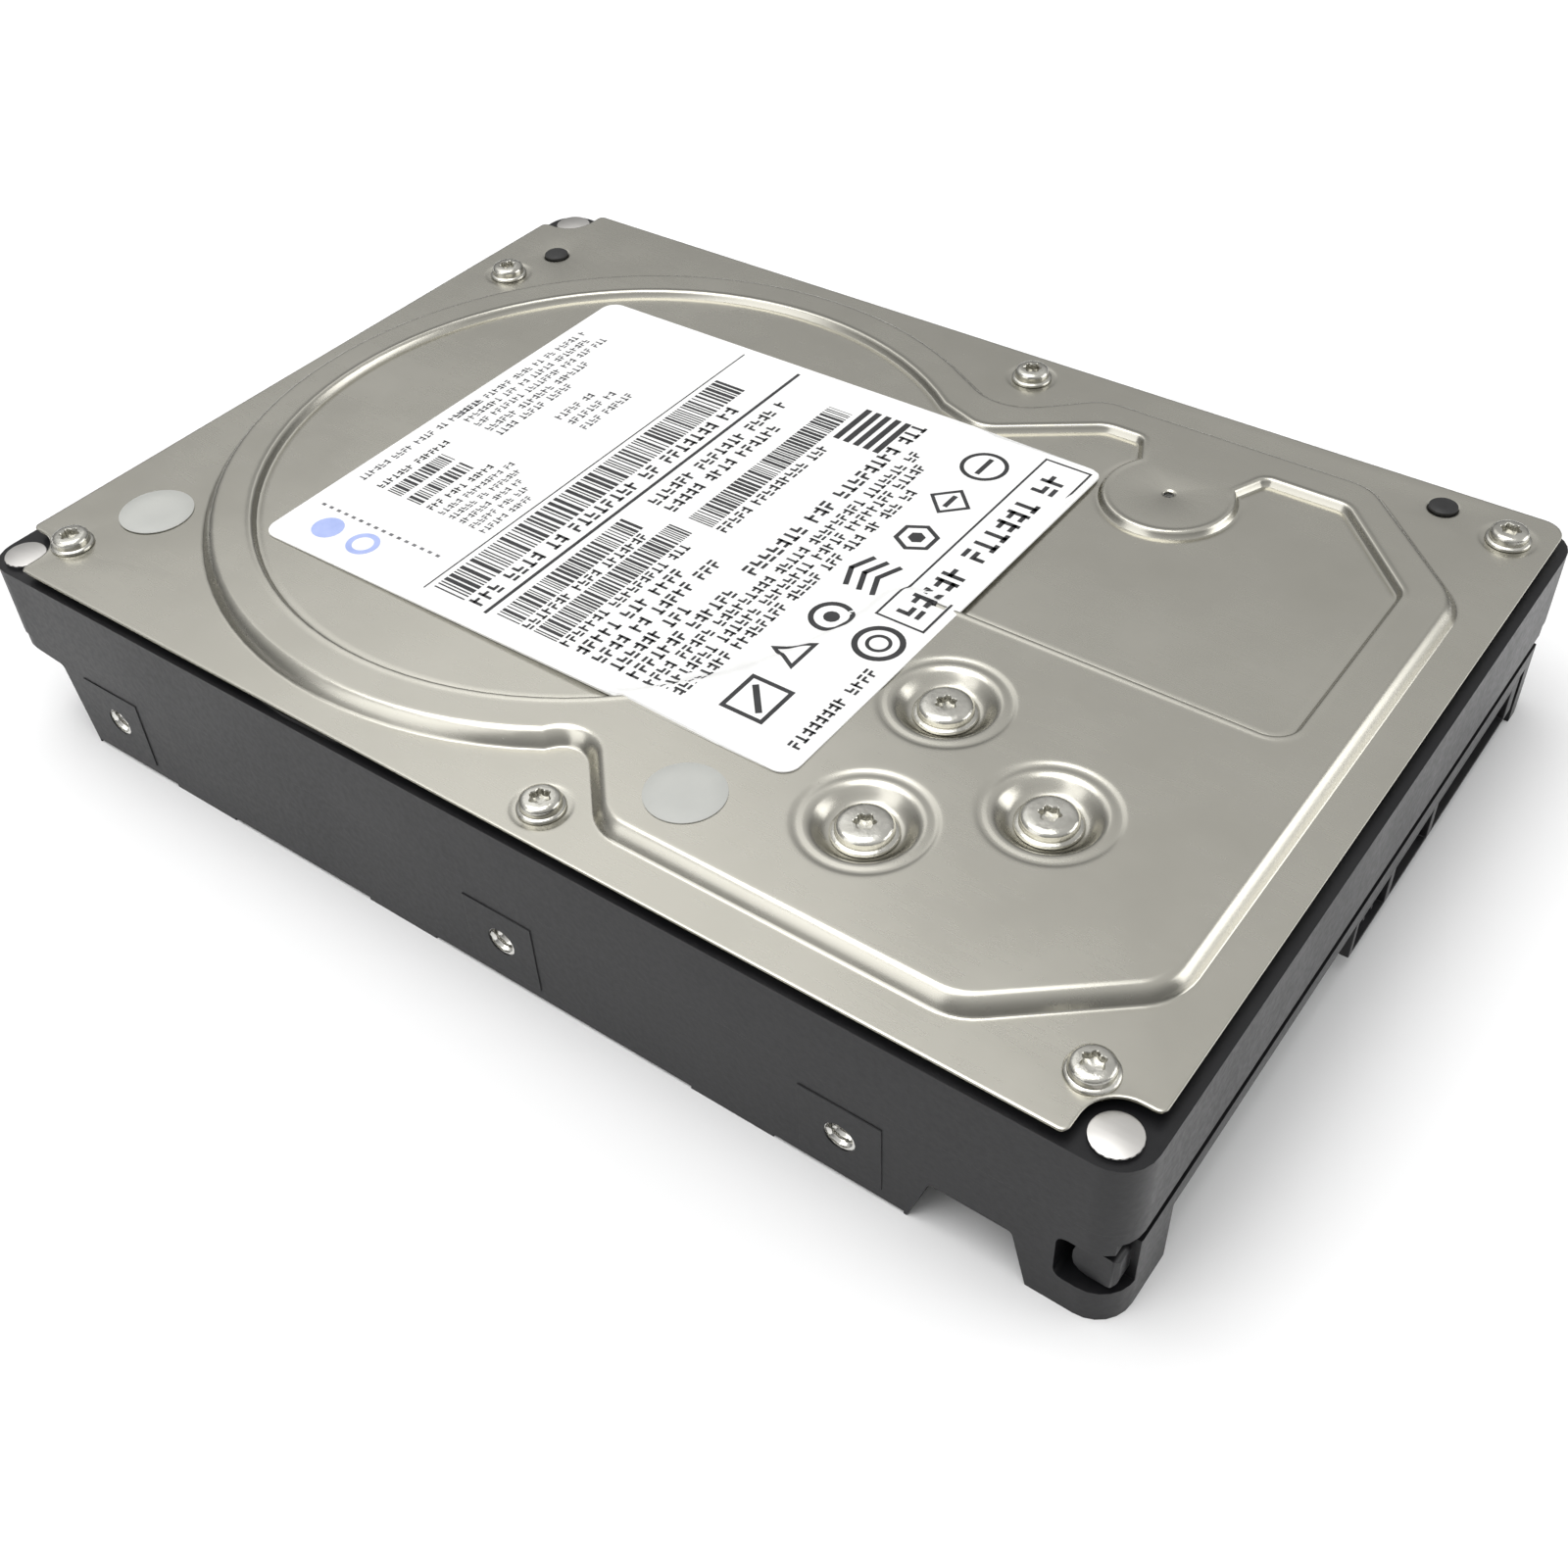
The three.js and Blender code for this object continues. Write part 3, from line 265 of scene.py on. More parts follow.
class Sheet:
    """A surface over the plan, triangulated between loops and points of known height."""

    def __init__(self):
        self.points = []
        self.heights = []
        self.edges = []

    def loop(self, points, height):
        """A closed loop of edges, all at one height or with a list of heights."""
        first = len(self.points)
        heights = height if isinstance(height, list) else [height] * len(points)
        self.points += [Vector(p) for p in points]
        self.heights += heights
        count = len(points)
        self.edges += [(first + i, first + (i + 1) % count) for i in range(count)]

    def point(self, place, height):
        """One place of known height between the loops."""
        self.points.append(Vector(place))
        self.heights.append(height)

    def build(self, boundary, holes=()):
        """The triangles inside the boundary and outside the holes, as a bmesh."""
        places, _, faces, origins, _, _ = geometry.delaunay_2d_cdt(self.points, self.edges, [], 0, 1e-5)
        made = bmesh.new()
        verts = []
        for place, origin in zip(places, origins):
            height = self.heights[origin[0]] if origin else RIM_TOP
            verts.append(made.verts.new((place.x, place.y, height)))
        for face in faces:
            middle = sum((places[i] for i in face), Vector((0, 0))) / len(face)
            if inside(middle, boundary) and not any(inside(middle, hole) for hole in holes):
                made.faces.new([verts[i] for i in face])
        loose = [v for v in made.verts if not v.link_faces]
        bmesh.ops.delete(made, geom=loose, context="VERTS")
        bmesh.ops.recalc_face_normals(made, faces=made.faces)
        if sum(f.normal.z for f in made.faces) < 0:
            bmesh.ops.reverse_faces(made, faces=made.faces)
        return made


def rise(t, foot, crest):
    """Height along a pressed edge, 0 to 1: a curved foot, a straight slope and a curved crest."""
    t = max(0.0, min(1.0, t))
    slope = 1 / (1 - foot / 2 - crest / 2)
    if t < foot:
        return slope * t * t / (2 * foot)
    if t > 1 - crest:
        return 1 - slope * (1 - t) ** 2 / (2 * crest)
    return slope * (t - foot / 2)


def turned(profile, centre, sides):
    """A bmesh turned about a vertical axis from (radius, z) points; its ends close on the axis."""
    made = bmesh.new()
    rings = []
    for radius, z in profile:
        if radius < 1e-6:
            rings.append([made.verts.new((*centre, z))])
        else:
            rings.append([made.verts.new((x, y, z)) for x, y in circle(centre, radius, sides)])
    join_rings(made, rings)
    return made


def join_rings(made, rings):
    """Faces between neighbouring rings of vertices; a ring of one vertex is a tip."""
    for low, high in zip(rings, rings[1:]):
        count = max(len(low), len(high))
        for i in range(count):
            j = (i + 1) % count
            if len(low) == 1:
                made.faces.new((low[0], high[j], high[i]))
            elif len(high) == 1:
                made.faces.new((low[i], low[j], high[0]))
            else:
                made.faces.new((low[i], low[j], high[j], high[i]))
    bmesh.ops.recalc_face_normals(made, faces=made.faces)


# ---------------- materials


class Nodes:
    """A material's node tree, with short calls for the nodes used here."""

    def __init__(self, name):
        self.material = bpy.data.materials.new(name)
        self.material.use_nodes = True
        self.tree = self.material.node_tree
        self.shader = self.tree.nodes["Principled BSDF"]
        self.place = self.add("ShaderNodeTexCoord").outputs["Object"]

    def add(self, kind, **settings):
        node = self.tree.nodes.new(kind)
        for key, value in settings.items():
            setattr(node, key, value)
        return node

    def link(self, source, target):
        self.tree.links.new(source, target)

    def stretched(self, x, y, z, turn=0.0):
        """The piece's own coordinates, stretched and turned about the vertical."""
        mapping = self.add("ShaderNodeMapping")
        mapping.inputs["Scale"].default_value = (x, y, z)
        mapping.inputs["Rotation"].default_value = (0, 0, math.radians(turn))
        self.link(self.place, mapping.inputs["Vector"])
        return mapping.outputs["Vector"]

    def noise(self, scale, detail, roughness, vector=None):
        node = self.add("ShaderNodeTexNoise")
        node.inputs["Scale"].default_value = scale
        node.inputs["Detail"].default_value = detail
        node.inputs["Roughness"].default_value = roughness
        self.link(vector or self.place, node.inputs["Vector"])
        return node.outputs["Fac"]

    def ramp(self, value, stops):
        """A colour that follows a value between two stops (position, colour)."""
        node = self.add("ShaderNodeValToRGB")
        for element, (at, shade) in zip(node.color_ramp.elements, stops):
            element.position = at
            element.color = (*shade, 1)
        self.link(value, node.inputs["Fac"])
        return node.outputs["Color"]

    def span(self, value, low, high, to_low, to_high):
        """A value mapped from one range onto another."""
        node = self.add("ShaderNodeMapRange")
        limits = {"From Min": low, "From Max": high, "To Min": to_low, "To Max": to_high}
        for key, number in limits.items():
            node.inputs[key].default_value = number
        self.link(value, node.inputs["Value"])
        return node.outputs["Result"]

    def sum(self, a, b):
        node = self.add("ShaderNodeMath", operation="ADD")
        for socket, value in zip(node.inputs, (a, b)):
            self.link(value, socket)
        return node.outputs["Value"]

    def mix(self, factor, colour, other):
        """One colour, turning into another constant colour by a factor."""
        node = self.add("ShaderNodeMix", data_type="RGBA")
        first, second = [socket for socket in node.inputs if socket.type == "RGBA"]
        self.link(factor, node.inputs["Factor"])
        self.link(colour, first)
        second.default_value = (*other, 1)
        return next(socket for socket in node.outputs if socket.type == "RGBA")

    def bump(self, height, distance, strength, normal=None):
        node = self.add("ShaderNodeBump")
        node.inputs["Strength"].default_value = strength
        node.inputs["Distance"].default_value = distance
        self.link(height, node.inputs["Height"])
        if normal:
            self.link(normal, node.inputs["Normal"])
        return node.outputs["Normal"]

    def finish(self, color, roughness, normal, **constants):
        """Links the looks to the shader and sets its constants, such as Metallic."""
        for key, value in (("Base Color", color), ("Roughness", roughness), ("Normal", normal)):
            self.link(value, self.shader.inputs[key])
        for key, value in constants.items():
            self.shader.inputs[key.replace("_", " ")].default_value = value
        return self.material


def cover_steel():
    """Satin stainless sheet: faint cloudy patches and a very fine rolled grain."""
    n = Nodes("cover_steel")
    clouds = n.noise(55, 4, 0.6)
    grain = n.noise(1500, 2, 0.6, n.stretched(1, 0.12, 1))
    tone = n.ramp(clouds, [(0.3, (0.47, 0.457, 0.403)), (0.7, (0.515, 0.5, 0.445))])
    rough = n.sum(n.span(clouds, 0.3, 0.7, 0.25, 0.29), n.span(grain, 0.3, 0.7, -0.01, 0.01))
    return n.finish(tone, rough, n.bump(grain, 0.000003, 0.15), Metallic=1.0)


def casting_paint():
    """Black coated casting: a faint orange peel, and a sheen that varies from place to place."""
    n = Nodes("casting_paint")
    peel = n.noise(1500, 2, 0.5)
    clouds = n.noise(60, 4, 0.6)
    tone = n.ramp(clouds, [(0.3, (0.007, 0.007, 0.008)), (0.75, (0.013, 0.013, 0.014))])
    rough = n.sum(n.span(clouds, 0.3, 0.7, 0.3, 0.4), n.span(peel, 0.3, 0.7, -0.03, 0.05))
    normal = n.bump(n.noise(160, 3, 0.5), 0.0001, 0.25)
    normal = n.bump(peel, 0.00003, 0.4, normal)
    return n.finish(tone, rough, normal, Specular_IOR_Level=0.27)


def bare_metal(name, low, high, rough, grain_scale, grain_turn=0.0, depth=0.00003, sway=0.04):
    """Machined metal with a fine directional grain; its roughness sways from place to place."""
    n = Nodes(name)
    grain = n.noise(grain_scale, 2, 0.6, n.stretched(1, 0.06, 1, grain_turn))
    clouds = n.noise(90, 3, 0.5)
    tone = n.ramp(clouds, [(0.3, low), (0.7, high)])
    broad = n.span(clouds, 0.3, 0.7, rough - sway, rough + sway)
    roughness = n.sum(broad, n.span(grain, 0.3, 0.7, -sway, sway))
    return n.finish(tone, roughness, n.bump(grain, depth, 0.5), Metallic=1.0)


def screw_nickel():
    """Nickel plating with a slightly pitted, uneven shine."""
    n = Nodes("screw_nickel")
    pits = n.noise(1400, 3, 0.6)
    clouds = n.noise(420, 2, 0.5)
    tone = n.ramp(clouds, [(0.25, (0.42, 0.41, 0.37)), (0.7, (0.62, 0.61, 0.56))])
    rough = n.span(clouds, 0.3, 0.7, 0.18, 0.3)
    return n.finish(tone, rough, n.bump(pits, 0.00006, 0.6), Metallic=1.0)


def plain_surface(name, low, high, rough, scale, depth=0.00002):
    """A moulded, printed or coated surface: soft colour variation, fine texture and uneven gloss."""
    n = Nodes(name)
    clouds = n.noise(scale, 4, 0.55)
    fine = n.noise(scale * 14, 2, 0.5)
    tone = n.ramp(clouds, [(0.3, low), (0.7, high)])
    broad = n.span(clouds, 0.3, 0.7, rough - 0.05, rough + 0.05)
    roughness = n.sum(broad, n.span(fine, 0.3, 0.7, -0.03, 0.03))
    return n.finish(tone, roughness, n.bump(fine, depth, 0.5))


def board_mask():
    """Green solder mask with copper tracks showing through as slightly lighter, raised lines."""
    n = Nodes("board_mask")
    tracks = n.add("ShaderNodeTexBrick")
    tracks.inputs["Scale"].default_value = 260
    tracks.inputs["Mortar Size"].default_value = 0.022
    tracks.inputs["Color1"].default_value = (0, 0, 0, 1)
    tracks.inputs["Color2"].default_value = (0, 0, 0, 1)
    tracks.inputs["Mortar"].default_value = (1, 1, 1, 1)
    n.link(n.stretched(1, 1, 1, 45), tracks.inputs["Vector"])
    clouds = n.noise(120, 3, 0.5)
    base = n.ramp(clouds, [(0.3, (0.008, 0.075, 0.035)), (0.7, (0.014, 0.11, 0.05))])
    tone = n.mix(tracks.outputs["Color"], base, (0.03, 0.19, 0.08))
    rough = n.span(clouds, 0.3, 0.7, 0.28, 0.4)
    return n.finish(tone, rough, n.bump(tracks.outputs["Color"], 0.00003, 0.5))


STEEL = cover_steel()
CASTING = casting_paint()
NICKEL = screw_nickel()
PAD_METAL = bare_metal("machined_pad", (0.6, 0.585, 0.56), (0.72, 0.705, 0.68), 0.35, 900, 30)
ALUMINIUM = bare_metal("machined_aluminium", (0.52, 0.52, 0.53), (0.63, 0.63, 0.64), 0.32, 700)
DISC_MIRROR = bare_metal(
    "disc_mirror", (0.78, 0.78, 0.79), (0.83, 0.83, 0.84), 0.07, 1200, depth=0.000001, sway=0.01
)
YOKE_NICKEL = bare_metal("yoke_nickel", (0.5, 0.49, 0.46), (0.62, 0.61, 0.58), 0.25, 500, 60)
COPPER = bare_metal("coil_copper", (0.5, 0.2, 0.08), (0.66, 0.3, 0.12), 0.35, 1500)
GOLD = bare_metal("contact_gold", (0.75, 0.52, 0.16), (0.9, 0.66, 0.25), 0.25, 900)
RUBBER = plain_surface("black_rubber", (0.008, 0.008, 0.008), (0.018, 0.018, 0.018), 0.6, 300)
LABEL_FILM = plain_surface("label_film", (0.77, 0.77, 0.76), (0.81, 0.81, 0.8), 0.42, 120, 0.00001)
INK = plain_surface("label_ink", (0.012, 0.012, 0.013), (0.028, 0.028, 0.03), 0.5, 500)
GREY_INK = plain_surface("label_ink_grey", (0.1, 0.1, 0.105), (0.16, 0.16, 0.17), 0.5, 500)
BLUE_INK = plain_surface("label_ink_blue", (0.3, 0.37, 0.66), (0.38, 0.45, 0.74), 0.5, 500)
SEAL_FILM = plain_surface("seal_film", (0.39, 0.395, 0.375), (0.43, 0.435, 0.41), 0.5, 160, 0.00001)
CREAM = plain_surface("cream_plastic", (0.6, 0.55, 0.42), (0.7, 0.65, 0.52), 0.45, 300)
FELT = plain_surface("filter_felt", (0.72, 0.72, 0.7), (0.85, 0.85, 0.83), 0.9, 900, 0.00008)
AMBER = plain_surface("amber_film", (0.36, 0.13, 0.025), (0.46, 0.19, 0.04), 0.3, 300)
CHIP = plain_surface("chip_plastic", (0.014, 0.014, 0.015), (0.026, 0.026, 0.028), 0.5, 600)
PLUG_PLASTIC = plain_surface("connector_plastic", (0.01, 0.01, 0.011), (0.02, 0.02, 0.022), 0.42, 400)
BOARD = board_mask()
TIN = bare_metal("tinned_pad", (0.55, 0.55, 0.53), (0.72, 0.72, 0.7), 0.3, 1800)
THREAD = bare_metal("cut_thread", (0.72, 0.71, 0.67), (0.88, 0.87, 0.83), 0.2, 1600)


# ---------------- cover

# Each profile holds (distance, height) points: how far from a hole's middle or in from an edge,
# and how high above the sheet round it.
COVER_EDGE_PROFILE = [(0, -COVER_LIP), (0.06, -0.04), (0.18, 0), (0.32, 0)]
DIMPLE_PROFILE = [
    (7.5, 0.0),
    (7.2, 0.0),
    (6.95, -0.02),
    (6.75, -0.09),
    (6.5, -0.14),
    (6.2, -0.13),
    (5.9, -0.07),
    (5.6, -0.07),
    (5.3, -0.15),
    (4.95, -0.42),
    (4.5, -0.88),
    (4.15, -1.22),
    (3.85, -1.46),
    (3.6, -1.57),
    (3.4, -DIMPLE_DEPTH),
]
DIMPLE_SIDES = 64
DIMPLE_HOLE_SIDES = 24
SCREW_HOLE_R = 1.35
EDGE_CLEARANCE = 0.5  # between a screw's seat and the cover's edge
SEAT_PROFILE = [
    (3.55, 0),
    (3.3, 0),
    (3.1, -0.03),
    (2.9, -0.09),
    (2.6, -SEAT_SINK),
    (2.0, -SEAT_SINK),
    (SCREW_HOLE_R, -SEAT_SINK),
]
SEAT_SIDES = 40
PLUG_HOLE_R = 1.65
PLUG_HOLE_PROFILE = [(2.1, 0), (1.85, -0.02), (PLUG_HOLE_R, -0.12)]
PLUG_SIDES = 32
BREATHER_HOLE_R = 0.6
BREATHER_PROFILE = [(0.95, 0), (0.75, -0.05), (BREATHER_HOLE_R, -0.2)]
BREATHER_SIDES = 20
RECESS_DROP = RECESS_TOP - PLATEAU_TOP
# At the recess's edge: a fine bead, the step down and a groove at its foot.
RECESS_PROFILE = [
    (-1.0, 0.0),
    (-0.75, 0.0),
    (-0.55, 0.02),
    (-0.32, 0.08),
    (-0.12, 0.09),
    (0.06, 0.02),
    (0.2, RECESS_DROP * 0.35),
    (0.36, RECESS_DROP * 0.82),
    (0.5, RECESS_DROP * 1.08),
    (0.7, RECESS_DROP * 1.13),
    (0.9, RECESS_DROP * 1.08),
    (1.15, RECESS_DROP),
    (1.45, RECESS_DROP),
]


def raised_loops(sheet):
    """Loops that carry the cover up from its rim to its raised part."""
    sheet.loop(inward(RAISED_EDGE, -SLOPE_MARGIN), RIM_TOP)
    for i in range(SLOPE_STEPS + 1):
        t = i / SLOPE_STEPS
        height = RIM_TOP + (PLATEAU_TOP - RIM_TOP) * rise(t, SLOPE_FOOT, SLOPE_CREST)
        sheet.loop(inward(RAISED_EDGE, SLOPE_RUN * t), height)
    sheet.loop(inward(RAISED_EDGE, SLOPE_RUN + SLOPE_MARGIN), PLATEAU_TOP)


def round_loops(sheet, place, profile, level, sides):
    """Circles round a place, along a profile taken from a level."""
    for radius, drop in profile:
        sheet.loop(circle(place, radius, sides), level + drop)


def build_cover():
    """The cover as one pressed sheet, replacing the plain one."""
    sheet = Sheet()
    for depth, drop in COVER_EDGE_PROFILE:
        sheet.loop(inward(COVER_EDGE, depth), RIM_TOP + drop)
    raised_loops(sheet)
    for depth, drop in RECESS_PROFILE:
        sheet.loop(inward(RECESS_EDGE, depth), PLATEAU_TOP + drop)
    holes = []
    for place in DIMPLE_SCREWS:
        round_loops(sheet, place, DIMPLE_PROFILE, PLATEAU_TOP, DIMPLE_SIDES)
        hole = circle(place, SCREW_HOLE_R, DIMPLE_HOLE_SIDES)
        sheet.loop(hole, PLATEAU_TOP - DIMPLE_DEPTH)
        holes.append(hole)
    for place in RIM_SCREWS:
        room = depth_inside(place, COVER_EDGE) - EDGE_CLEARANCE
        profile = [(radius, drop) for radius, drop in SEAT_PROFILE if radius < room]
        round_loops(sheet, place, profile, RIM_TOP, SEAT_SIDES)
        holes.append(circle(place, SCREW_HOLE_R, SEAT_SIDES))
    for place in PLUG_HOLES:
        round_loops(sheet, place, PLUG_HOLE_PROFILE, RIM_TOP, PLUG_SIDES)
        holes.append(circle(place, PLUG_HOLE_R, PLUG_SIDES))
    round_loops(sheet, BREATHER, BREATHER_PROFILE, PLATEAU_TOP, BREATHER_SIDES)
    holes.append(circle(BREATHER, BREATHER_HOLE_R, BREATHER_SIDES))
    made = sheet.build(COVER_EDGE, holes)
    cover = new_piece("cover_pressing", made, STEEL, stands_for=["top_cover"])
    thickness = (COVER_T - COVER_LIP) * MM
    apply_modifier(cover, "SOLIDIFY", thickness=thickness, offset=-1, use_even_offset=True)
    smooth(cover, 40)


# ---------------- label and its print

LABEL_RUN = 2.0  # width of its slope at the recess's edge
LABEL_CURVE = 0.5  # share of the slope that curves at its foot, and again at its crest
LABEL_STEPS = 8
LABEL_LIFT = 0.19  # its face above the cover
LABEL_PITCH = 1.5
LABEL_CORNER_R = 2
GRID_GAP = 0.6  # between the label's grid and the slope
GRID_MARGIN = 0.4  # between the grid and the label's edge
SLOPE_END = 0.3  # between the slope's points and the label's edge


def label_top(x, y):
    """The height of the label's face, which slopes more softly than the cover at the recess's edge."""
    depth = depth_inside((x, y), RECESS_EDGE)
    return PLATEAU_TOP + LABEL_LIFT + RECESS_DROP * rise(depth / LABEL_RUN, LABEL_CURVE, LABEL_CURVE)


def label_grid():
    """Places over the label, apart from those on or near the slope at the recess's edge."""
    x0, y0, x1, y1 = LABEL
    places = []
    for i in range(1, int((x1 - x0) / LABEL_PITCH)):
        for j in range(1, int((y1 - y0) / LABEL_PITCH)):
            place = (x0 + i * LABEL_PITCH, y0 + j * LABEL_PITCH)
            from_slope = abs(depth_inside(place, RECESS_EDGE) - LABEL_RUN / 2)
            if from_slope > LABEL_RUN / 2 + GRID_GAP:
                places.append(place)
    return places


def build_label():
    """The label as one thin sheet draped over the recess's edge."""
    sheet = Sheet()
    edge = outline([(x, y, LABEL_CORNER_R) for x, y in box_corners(*LABEL)])
    sheet.loop(edge, [label_top(*p) for p in edge])
    grid_edge = inward(edge, GRID_MARGIN)
    slope_edge = inward(edge, SLOPE_END)
    for place in label_grid():
        if inside(place, grid_edge):
            sheet.point(place, label_top(*place))
    for step in range(LABEL_STEPS + 1):
        for place in inward(RECESS_EDGE, LABEL_RUN * step / LABEL_STEPS):
            if inside(place, slope_edge):
                sheet.point(place, label_top(*place))
    made = sheet.build(edge)
    label = new_piece("label_sheet", made, LABEL_FILM, stands_for=["label"])
    apply_modifier(label, "SOLIDIFY", thickness=LABEL_T * MM, offset=-1)
    smooth(label, 50)


class Print:
    """Ink on the label: many small closed slabs, each lying on the label's surface."""

    INK_T = 0.03
    LINE_STEP = 0.7
    RING_SIDES = 32
    # A band is sampled for its slope, and where it isn't flat it is cut into short lengths.
    SAMPLES = 6
    FLAT = 0.01
    CUT = 0.5
    # Small print, as shares of its height.
    STROKE = 0.2
    MARK_WIDTH = 0.55
    MARK_PITCH = 0.78
    WORD_GAP = 0.8
    # Each mark's upright (place across, foot, head) and the levels of its cross strokes.
    MARKS = [
        ((0, 0, 1), (1.3,)),
        ((1, 0, 1), (0.3, 1.6)),
        ((0, 0.55, 1), (0, 1)),
        ((0, 0, 0.45), (1, 2)),
        ((0.5, 0, 1), (0,)),
    ]

    def __init__(self):
        self.made = bmesh.new()

    def patch(self, corners):
        """One small slab over a convex outline of plan points."""
        tops = []
        bottoms = []
        for x, y in corners:
            height = remembered_top(x, y)
            tops.append(self.made.verts.new((x, y, height + self.INK_T)))
            bottoms.append(self.made.verts.new((x, y, height - self.INK_T)))
        self.made.faces.new(tops)
        self.made.faces.new(bottoms[::-1])
        for i in range(len(corners)):
            j = (i + 1) % len(corners)
            self.made.faces.new((bottoms[i], bottoms[j], tops[j], tops[i]))

    def run(self, start, end, width):
        """A straight band between two points, cut into short lengths where the label slopes."""
        start, end = Vector(start), Vector(end)
        along = end - start
        side = Vector((-along.y, along.x)).normalized() * width / 2
        places = [start + along * i / self.SAMPLES for i in range(self.SAMPLES + 1)]
        heights = [remembered_top(*place) for place in places]
        sloped = max(heights) - min(heights) > self.FLAT
        count = max(1, math.ceil(along.length / self.CUT)) if sloped else 1
        for i in range(count):
            a, b = start + along * i / count, start + along * (i + 1) / count
            self.patch([tuple(c) for c in (a - side, b - side, b + side, a + side)])

    def bar(self, x0, y0, x1, y1):
        """An upright rectangle."""
        if x1 - x0 > y1 - y0:
            self.run((x0, (y0 + y1) / 2), (x1, (y0 + y1) / 2), y1 - y0)
        else:
            self.run(((x0 + x1) / 2, y0), ((x0 + x1) / 2, y1), x1 - x0)

    def stroke(self, points, width):
        """An open line of a given width through points."""
        for a, b in zip(points, points[1:]):
            start, end = Vector(a), Vector(b)
            grow = (end - start).normalized() * width * 0.25
            self.run(start - grow, end + grow, width)

    def loop(self, points, width):
        """A closed line of a given width round an anticlockwise outline."""
        line = divided(points, self.LINE_STEP)
        rings = []
        for side, lift in ((-1, -1), (-1, 1), (1, 1), (1, -1)):
            ring = []
            for x, y in inward(line, side * width / 2):
                ring.append(self.made.verts.new((x, y, remembered_top(x, y) + lift * self.INK_T)))
            rings.append(ring)
        for outer, inner in zip(rings, rings[1:] + rings[:1]):
            for i in range(len(line)):
                j = (i + 1) % len(line)
                self.made.faces.new((outer[i], outer[j], inner[j], inner[i]))

    def ring(self, centre, radius, width):
        """A round line."""
        self.loop(circle(centre, radius, self.RING_SIDES), width)

    def barcode(self, x0, y0, x1, y1, seed, pitch):
        """Upright bars of uneven width that stand for a code and hold none."""
        draw = random.Random(seed)
        x = x0
        while x < x1:
            width = pitch * draw.choice((0.5, 0.5, 1, 1.5))
            self.bar(x, y0, min(x + width, x1), y1)
            x += width + pitch * draw.choice((0.7, 0.7, 1.2))

    def greeked(self, x0, y0, length, size, seed):
        """A line of plain marks that stands for small print and spells nothing."""
        draw = random.Random(seed)
        x = x0
        pitch = size * self.MARK_PITCH
        left = draw.randint(3, 8)
        while x < x0 + length:
            if left == 0:
                left = draw.randint(2, 9)
                x += pitch * self.WORD_GAP
                continue
            left -= 1
            self.mark(x, y0, size * self.MARK_WIDTH, size, draw)
            x += pitch

    def text(self, u, v, length, size, seed):
        """A line of such marks, placed from the label's top left corner."""
        x, y = from_corner(u, v)
        self.greeked(x, y - size, length, size, seed)

    def mark(self, x, y, width, size, draw):
        """One mark: an upright and one or two cross strokes that spell nothing."""
        line = size * self.STROKE
        half = (size - line) / 2
        (across, low, high), levels = self.MARKS[draw.randint(0, len(self.MARKS) - 1)]
        left = x + (width - line) * across
        self.patch(box_corners(left, y + size * low, left + line, y + size * high))
        for level in levels:
            self.patch(box_corners(x, y + half * level, x + width, y + half * level + line))

    def finish(self, name, material):
        """All of this print as one piece."""
        new_piece(name, self.made, material)


def divided(points, step):
    """An outline with its long edges cut into steps."""
    cut = []
    for i, start in enumerate(points):
        start, end = Vector(start), Vector(points[(i + 1) % len(points)])
        count = max(1, math.ceil((end - start).length / step))
        cut += [tuple(start.lerp(end, k / count)) for k in range(count)]
    return cut


def box_corners(x0, y0, x1, y1):
    """The corners of an upright rectangle, anticlockwise."""
    return [(x0, y0), (x1, y0), (x1, y1), (x0, y1)]


TOPS_GRID = 0.1
KNOWN_TOPS = {}


def remembered_top(x, y):
    """The label's height at a point, remembered on a fine grid."""
    cell = (round(x / TOPS_GRID), round(y / TOPS_GRID))
    if cell not in KNOWN_TOPS:
        KNOWN_TOPS[cell] = label_top(cell[0] * TOPS_GRID, cell[1] * TOPS_GRID)
    return KNOWN_TOPS[cell]


def from_corner(u, v):
    """A place on the label from its top left corner: to the right and down, in millimetres."""
    return LABEL[0] + u, LABEL[3] - v


